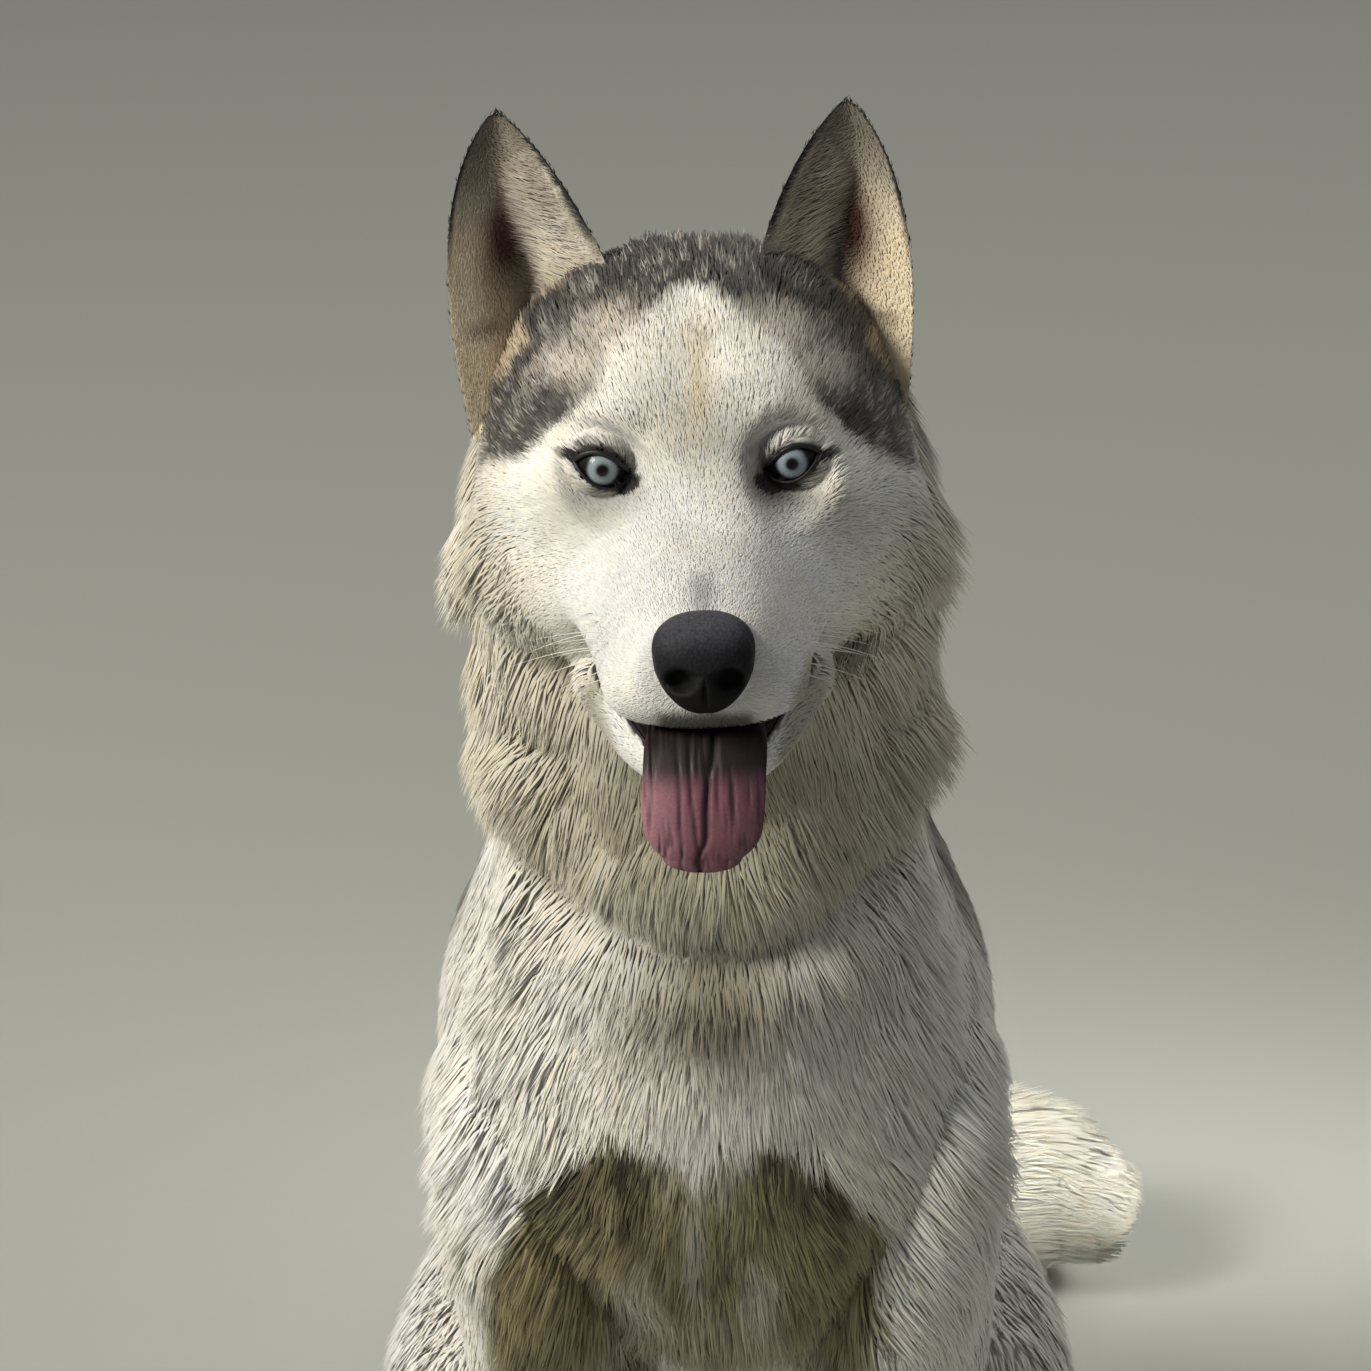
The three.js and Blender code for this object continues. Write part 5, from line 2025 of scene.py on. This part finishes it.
@dataclass(frozen=True)
class EyeFinish:
    """A pale blue iris with a dark ring, under a clear wet cornea.

    The map named Gaze gives each place's distance from the middle of the pupil in millimetres.
    """

    name: str = "pale blue eye"
    pupil_mm: float = 1.9
    iris_mm: float = 6.1

    def material(self) -> Material:
        """Builds the material.

        Returns:
            The material.
        """
        material, tree = bare_material(self.name)
        gaze = add_node(tree, "UVMap", uv_map="Gaze").outputs[0]
        radius = add_node(tree, "VectorMath", links={0: gaze}, operation="LENGTH").outputs["Value"]
        stops = (
            (0.0, "050505"),
            (self.pupil_mm * 0.92, "070809"),
            (self.pupil_mm * 1.12, "3f474b"),
            (self.pupil_mm * 1.5, "7a878c"),
            (self.iris_mm * 0.6, "8f9ca2"),
            (self.iris_mm * 0.8, "88959b"),
            (self.iris_mm * 0.9, "566268"),
            (self.iris_mm * 1.0, "14171a"),
            (self.iris_mm * 1.08, "0d0b0b"),
            (self.iris_mm * 1.45, "120f0e"),
        )
        widest = self.iris_mm * 1.5
        share = add_node(tree, "Math", {1: widest}, {0: radius}, operation="DIVIDE")
        band = add_node(tree, "ValToRGB", links={"Fac": share.outputs[0]})
        elements = band.color_ramp.elements
        for extra in range(len(stops) - 2):
            elements.new(0.5)
        for element, (place, code) in zip(elements, stops):
            element.position = place / widest
            element.color = rgba(code)
        fibres = add_node(tree, "TexNoise", {"Scale": 1.4, "Detail": 3.0}, {"Vector": gaze})
        values = {"From Min": 0.35, "From Max": 0.65, "To Min": 0.82, "To Max": 1.1}
        tone = add_node(tree, "MapRange", values, {"Value": fibres.outputs["Fac"]})
        links = {0: band.outputs["Color"], "Scale": tone.outputs[0]}
        colour = add_node(tree, "VectorMath", links=links, operation="SCALE")
        values = {
            "Roughness": 0.4,
            "Specular IOR Level": 0.2,
            "Coat Weight": 0.5,
            "Coat Roughness": 0.05,
            "Coat IOR": 1.38,
        }
        shader = add_node(tree, "BsdfPrincipled", values, {"Base Color": colour.outputs[0]})
        add_node(tree, "OutputMaterial", links={"Surface": shader.outputs[0]})
        return material


# Pebbles a millimetre wide spread the light. The nose's own colours are painted on its mesh, with a
# paler painted sheen on its top and painted shade under it.
NOSE_LEATHER = SkinFinish(
    "nose leather", "ffffff", "9a9a9a", 0.66, 1.1, 0.12, gloss=0.18, pebbled=True, painted=True
)
# Bare, nearly black skin with a faint moist gloss.
LID_SKIN = SkinFinish("eyelid skin", "131112", "0a0909", 0.5, 0.9, 0.08)
# Dark skin that the tongue keeps wet, so it has a narrow shine.
LIP_SKIN = SkinFinish("lip skin", "2b2023", "181214", 0.4, 1.4, 0.15, wet=0.2)
# A dark red that hardly shows in the open mouth's shade.
MOUTH_LINING = SkinFinish("mouth lining", "1c1012", "0e0809", 0.5, 2.0, 0.2)
# Fine papillae make the tongue matt, and a little light goes through it.
TONGUE_FLESH = SkinFinish(
    "tongue flesh", "ffffff", "b8aab0", 0.62, 0.9, 0.12, wet=0.05, soft=0.08, gloss=0.35, painted=True
)
# Polished horn with fibres along the claw.
CLAW_HORN = SkinFinish("claw horn", "3c3431", "221d1b", 0.35, 1.2, 0.05, stretch=(1, 0.3, 1))
# Smooth stiff hairs, nearly white.
WHISKER_HAIR = SkinFinish("whisker hair", "efece6", "d8d3cb", 0.4, 1.5, 0.01)


def tube(
    line: Array,
    radii: Sequence[float],
    sides: int = 10,
    closed: bool = False,
    up: Sequence[float] = (0.0, 0.0, 1.0),
    flat: float = 1.0,
) -> Mesh:
    """A tube along a line, with rings that are bridged together.

    Args:
        line: Its points.
        radii: Its radius at each point.
        sides: Faces round it.
        closed: Whether its end joins its start.
        up: A direction that its rings are turned by.
        flat: How thick it is along that direction, as a share of its width.

    Returns:
        A closed mesh.
    """
    work = bmesh.new()
    count = len(line)
    rings = []
    for i in range(count):
        before = line[(i - 1) % count] if closed or i else line[0]
        after = line[(i + 1) % count] if closed or i + 1 < count else line[-1]
        along = Vector(after - before).normalized()
        side = along.cross(Vector(up)).normalized()
        high = side.cross(along)
        turn = Matrix((side, high * flat, along)).transposed().to_4x4()
        turn.translation = Vector(line[i])
        ring = bmesh.ops.create_circle(work, segments=sides, radius=radii[i], matrix=turn)["verts"]
        rings.append([e for e in {e for v in ring for e in v.link_edges}])
    for i in range(count if closed else count - 1):
        bmesh.ops.bridge_loops(work, edges=rings[i] + rings[(i + 1) % count])
    if not closed:
        bmesh.ops.holes_fill(work, edges=work.edges, sides=sides)
    bmesh.ops.recalc_face_normals(work, faces=work.faces)
    mesh = bpy.data.meshes.new("tube")
    work.to_mesh(mesh)
    work.free()
    smooth(mesh)
    return mesh


@dataclass(frozen=True)
class Eye:
    """One eyeball with its cornea, and the dark rims of its lids."""

    side: int
    cornea: float = 1.1
    cornea_reach: float = 7.2

    @property
    def centre(self) -> Array:
        """The middle of the eyeball, in the head's frame."""
        return np.array([EYE_APART * self.side, EYE_DEPTH, 0.0])

    def build(self, eye: Material, lid: Material) -> None:
        """Makes the eyeball and the lids' rims.

        Args:
            eye: The eyeball's material.
            lid: The lids' material.
        """
        name = "left" if self.side > 0 else "right"
        mesh, _, _ = ball(64, 48)
        places = places_of(mesh)[:, [0, 2, 1]] * np.array([1, -1, 1])
        off_axis = np.hypot(places[:, 0], places[:, 2]) * EYE_RADIUS
        front = places[:, 1] < 0
        swell = self.cornea * np.maximum(1 - (off_axis / self.cornea_reach) ** 2, 0) * front
        places = places * (EYE_RADIUS + swell)[:, None]
        gaze = np.stack([places[:, 0], places[:, 2]], 1)
        gaze = np.where(front[:, None], gaze, 20)
        place_all(mesh, places + self.centre)
        layer = mesh.uv_layers.new(name="Gaze")
        index = read_all(mesh.loops, "vertex_index", 1, np.int32)[:, 0]
        layer.data.foreach_set("uv", gaze[index].astype(np.float32).ravel())
        turn_out(mesh)
        add_piece(mesh, f"eyeball_{name}", eye, [f"eye_{name}"])
        add_piece(self.rim(), f"lids_{name}", lid)

    def rim(self) -> Mesh:
        """The rim of both lids, on the eyeball.

        Returns:
            A closed mesh in the head's frame.
        """
        points = Almond.outline(56, 0.5)
        reach = np.minimum(np.hypot(points[:, 0], points[:, 1]), EYE_RADIUS + 0.4)
        back = EYE_DEPTH - np.sqrt(np.maximum((EYE_RADIUS + 0.9) ** 2 - reach**2, 6.0))
        line = np.stack([EYE_APART * self.side + points[:, 0] * self.side, back, points[:, 1]], 1)
        thick = 0.6 + 0.5 * ramp(points[:, 1], -2, 5)
        return tube(line, thick, sides=8, closed=True, up=(0.0, 1.0, 0.0))


def turn_out(mesh: Mesh) -> None:
    """Turns the faces of a closed mesh outwards."""
    work = bmesh.new()
    work.from_mesh(mesh)
    bmesh.ops.recalc_face_normals(work, faces=work.faces)
    work.to_mesh(mesh)
    work.free()


@dataclass(frozen=True)
class Muzzle:
    """The nose, the tongue, the lips, the lining of the mouth and the whiskers."""

    nose: str = "232328"
    # Painted sheen on the top of the nose; painted shade under it and in the nostrils and the groove.
    nose_top_sheen: str = "55555d"
    nose_under_shade: str = "070708"
    nostril_shade: str = "020202"
    tongue: str = "8e5f6b"
    # Painted light and shade on the tongue: a lit and a shaded side, darker folds and groove, and a
    # dark top in the lips' shade.
    tongue_lit: str = "b3838d"
    tongue_shaded_side: str = "704c58"
    tongue_fold_shade: str = "3a242b"
    tongue_groove_shade: str = "24141a"
    tongue_top_shade: str = "0d0708"
    whisker_rows: int = 3
    whiskers_in_row: int = 4

    def build_nose(self) -> None:
        """Makes the nose: a rounded pad with comma-shaped nostrils and a groove."""
        mesh, polar, angle = ball(120, 90)
        s = -1 + (NOSE.last + 2) * polar
        places = to_head(NOSE.point(s, angle, 0.0))
        dark = np.zeros(len(places))
        for side in (1, -1):
            hole = ((places - np.array([8.6 * side, -124, -49.5])) / np.array([4.8, 9, 4.0])) ** 2
            slit = ((places - np.array([14.0 * side, -118, -52.0])) / np.array([5.0, 9, 2.0])) ** 2
            opened = np.exp(-(hole.sum(1) ** 1.6))
            places[:, 1] += 7.5 * opened + 3.0 * np.exp(-slit.sum(1))
            dark = np.maximum(dark, np.maximum(opened, 0.7 * np.exp(-slit.sum(1))))
        groove = np.exp(-((places[:, 0] / 0.8) ** 2)) * ramp(-places[:, 1], 112, 120)
        groove = groove * ramp(-places[:, 2], 46, 52)
        places[:, 1] += 1.3 * groove
        # Painted light and shade: a paler sheen on the top, a darker underside, and near black in the
        # nostrils and the groove, where shade falls.
        layers = (
            (self.nose_top_sheen, ramp(places[:, 2], -42, -28)),
            (self.nose_under_shade, ramp(-places[:, 2], 44, 56) * 0.95),
            (self.nostril_shade, np.maximum(dark, 0.6 * groove)),
        )
        paint(mesh, layered(self.nose, layers))
        place_all(mesh, places)
        turn_out(mesh)
        add_piece(mesh, "nose_pad", NOSE_LEATHER.material(), ["nose"])

    def build_tongue(self) -> None:
        """Makes the tongue: a broad strip that hangs, with a groove and lengthwise folds."""
        mesh, polar, angle = ball(200, 120)
        s = -1 + (TONGUE.last + 2) * polar
        places = to_head(TONGUE.point(s, angle, 0.0))
        upper = ramp(np.sin(angle), 0.0, 0.5) * ramp(s, 0, 1)
        x = places[:, 0]
        middle = np.interp(s, [0, 3, 8], [0, 2.2, -4.5]) + 0.5 * np.sin(s * 2.3)
        groove = np.exp(-(((x - middle) / 1.2) ** 2))
        sheet = np.stack([x, 1.1 * s, 0 * s], 1)
        folds = 0.6 * noise(sheet, 1.9, 61) + 0.4 * noise(sheet, 0.95, 62)
        down = np.interp(s, [0, 3, 4, 5], [0, 0, 0.7, 1])
        push = (1.6 * groove + 0.9 * ramp(folds, 0.45, 0.8)) * upper
        places[:, 2] -= push * (1 - down)
        places[:, 1] += push * down
        # Painted light and shade: lighter on the dog's right, lit side, darker on its left, darker in
        # the folds and the groove, and near black at the top, in the shade of the lips.
        layers = (
            (self.tongue_lit, ramp(-x, 4, 20)),
            (self.tongue_shaded_side, ramp(x, 2, 18)),
            (self.tongue_fold_shade, ramp(folds, 0.5, 0.76) * upper * 0.6),
            (self.tongue_groove_shade, groove * upper * 0.85),
            (self.tongue_top_shade, ramp(places[:, 2], -95, -84) * 0.95),
        )
        paint(mesh, layered(self.tongue, layers))
        place_all(mesh, places)
        turn_out(mesh)
        add_piece(mesh, "tongue_blade", TONGUE_FLESH.material(), ["tongue"])

    def build_lips(self) -> None:
        """Makes the dark edges of the lower lips beside the tongue."""
        lips = []
        for side in (1, -1):
            line = np.array([(19, -84, -84.5), (25, -72, -80), (30, -60, -75), (35, -46, -70)], float)
            points = smooth_at(line, np.linspace(0, len(line) - 1, 40)) * np.array([side, 1, 1])
            wide = 0.25 + 0.7 * np.sin(np.linspace(0, math.pi, 40))
            lips.append(tube(points, wide, sides=8))
        add_piece(joined(lips, "lips"), "lips", LIP_SKIN.material())

    def build_lining(self) -> None:
        """Makes the dark lining behind the tongue."""
        inner = shaped_ball((0, -38, -74), (33, 42, 9), detail=(40, 24))
        add_piece(inner, "mouth_lining", MOUTH_LINING.material())

    def build_whiskers(self) -> None:
        """Makes the whiskers in rows on both sides of the muzzle."""
        draw = np.random.default_rng(3)
        hairs = []
        t = np.linspace(0, 1, 9)[:, None]
        for side, row, k in product((1, -1), range(self.whisker_rows), range(self.whiskers_in_row)):
            root = np.array([27 + 2.2 * k, -86 + 9 * k, -44 - 6 * row + 1.2 * k])
            length = 22 + 7 * k + draw.normal(0, 3)
            aim = unit(np.array([0.92, 0.45 + 0.1 * k, -0.12 * row + draw.normal(0, 0.08)]))
            bend = np.array([0.05, 0.25, -0.22]) * length
            line = (root + aim * length * t + bend * t**2) * np.array([side, 1, 1])
            hairs.append(tube(line, 0.3 * (1 - 0.85 * t[:, 0]), sides=5))
        add_piece(joined(hairs, "whiskers"), "whiskers", WHISKER_HAIR.material())

    def build(self) -> None:
        """Makes all of them."""
        self.build_nose()
        self.build_tongue()
        self.build_lips()
        self.build_lining()
        self.build_whiskers()


def build_claws() -> None:
    """Makes the claws of all four paws: curved, blunt cones of dark horn."""
    claws = []
    for paw in FRONT_PAWS + HIND_PAWS:
        for x, y in TOES:
            t = np.linspace(0, 1, 9)
            line = np.stack([x * 1.12 + 0 * t, y - 19 - 11.5 * t, 14 - 3 * t - 6.5 * t**2], 1)
            claws.append(paw.placed(tube(line, 3.3 * (1 - 0.78 * t**1.5), sides=10, flat=1.1)))
    add_piece(joined(claws, "claws"), "claws", CLAW_HORN.material(), on_head=False)


@dataclass(frozen=True)
class Lamp:
    """A soft square lamp, with its place and size in metres and its power in watts."""

    name: str
    at: tuple[float, float, float]
    size: float
    power: float
    colour: str
    aim: tuple[float, float, float] = (0.0, 0.0, 0.45)
    spread: float = 180.0  # degrees

    def build(self) -> None:
        """Makes the lamp, facing its aim."""
        data = bpy.data.lights.new(self.name, "AREA")
        data.size = self.size
        data.energy = self.power
        data.color = linear(self.colour)
        data.spread = math.radians(self.spread)
        lamp = bpy.data.objects.new(self.name, data)
        bpy.context.scene.collection.objects.link(lamp)
        lamp.location = self.at
        ahead = Vector(self.aim) - Vector(self.at)
        lamp.rotation_euler = ahead.to_track_quat("-Z", "Y").to_euler()


# The tail lamp lights the tail alone, as the daylight does.
LAMPS = (
    Lamp("key", (-2.5, -1.4, 2.7), 1.3, 138.0, "fffaf0"),
    Lamp("fill", (2.4, -2.2, 1.8), 2.4, 6.5, "f4f6ff"),
    Lamp("rim", (1.3, 1.7, 3.0), 1.2, 20.0, "fffcf4"),
    Lamp("tail lamp", (1.3, 0.0, 0.9), 0.4, 0.55, "fffcf4", (0.26, 0.36, 0.06), 24.0),
)


@dataclass(frozen=True)
class Studio:
    """The floor, the lights and the camera."""

    back: float = 2350.0
    high: float = 900.0
    focal_pixels: float = 6905.0
    eyes_pixel: tuple[float, float] = (697.0, 464.0)
    sensor: float = 36.0
    floor_colour: str = "b2b4ae"
    room_colour: str = "e6e8e4"
    room_strength: float = 0.17

    def camera(self) -> None:
        """Makes the camera, so that the eyes fall on their place in the frame."""
        data = bpy.data.cameras.new("camera")
        camera = bpy.data.objects.new("camera", data)
        bpy.context.scene.collection.objects.link(camera)
        middle = IMAGE_SIDE / 2
        right = (self.eyes_pixel[0] - middle) / self.focal_pixels
        up = (middle - self.eyes_pixel[1]) / self.focal_pixels
        eyes = Vector(Room.metres(EYES_AT))
        place = eyes + Vector((0, -self.back, self.high)) * MM
        to = (eyes - place).normalized()
        pitch = math.atan2(to.z, math.hypot(to.x, to.y)) - math.atan(up)
        yaw = -math.atan(right) / math.cos(pitch)
        level_part = math.cos(pitch)
        ahead = Vector((math.sin(yaw) * level_part, math.cos(yaw) * level_part, math.sin(pitch)))
        across = ahead.cross(Vector((0, 0, 1))).normalized()
        above = across.cross(ahead)
        level = Matrix((across, above, -ahead)).transposed()
        pivot = Vector((right, up, -1.0)).normalized()
        rolled = level @ Matrix.Rotation(IMAGE_ROLL, 3, pivot)
        camera.matrix_world = Matrix.Translation(place) @ rolled.to_4x4()
        data.sensor_width = self.sensor
        data.lens = self.focal_pixels / IMAGE_SIDE * self.sensor
        data.clip_start = 0.05
        data.clip_end = 100.0
        bpy.context.scene.camera = camera

    def floor(self) -> None:
        """Makes a plain pale floor."""
        work = bmesh.new()
        bmesh.ops.create_grid(work, x_segments=1, y_segments=1, size=14.0)
        mesh = bpy.data.meshes.new("floor")
        work.to_mesh(mesh)
        work.free()
        floor = as_object(mesh, "floor")
        material, tree = bare_material("plain painted floor")
        values = {"Base Color": rgba(self.floor_colour), "Roughness": 0.9, "Specular IOR Level": 0.0}
        shader = add_node(tree, "BsdfPrincipled", values)
        add_node(tree, "OutputMaterial", links={"Surface": shader.outputs[0]})
        mesh.materials.append(material)

    def build(self) -> None:
        """Makes all of them."""
        self.camera()
        self.floor()
        world = bpy.data.worlds.new("soft room")
        world.use_nodes = True
        sky = world.node_tree.nodes["Background"]
        sky.inputs["Color"].default_value = rgba(self.room_colour)
        sky.inputs["Strength"].default_value = self.room_strength
        scene = bpy.context.scene
        scene.world = world
        scene.view_settings.view_transform = "Standard"
        for lamp in LAMPS:
            lamp.build()


ALL_TUFTS = 245_000


def main() -> None:
    """Builds the dog and the studio, and logs how many faces each piece of the dog has."""
    logging.basicConfig(level=logging.INFO, format="%(relativeCreated)d ms: %(message)s")
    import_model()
    Room.settle()
    markings = Markings()
    skin = Skin(markings, coat_guides())
    skin_finish = FurFinish("short hair on skin", roughness=0.75, sheen=0.1, bump_mm=0.4)
    dress(skin.thing, skin_finish.material(), Skin.nodes)
    hair = FurFinish().material()
    Coat(skin.hide, markings, hair, ALL_TUFTS).grow()
    eye, lid = EyeFinish().material(), LID_SKIN.material()
    for side in (1, -1):
        Eye(side).build(eye, lid)
    Muzzle().build()
    build_claws()
    Studio().build()


if __name__ == "__main__":
    main()
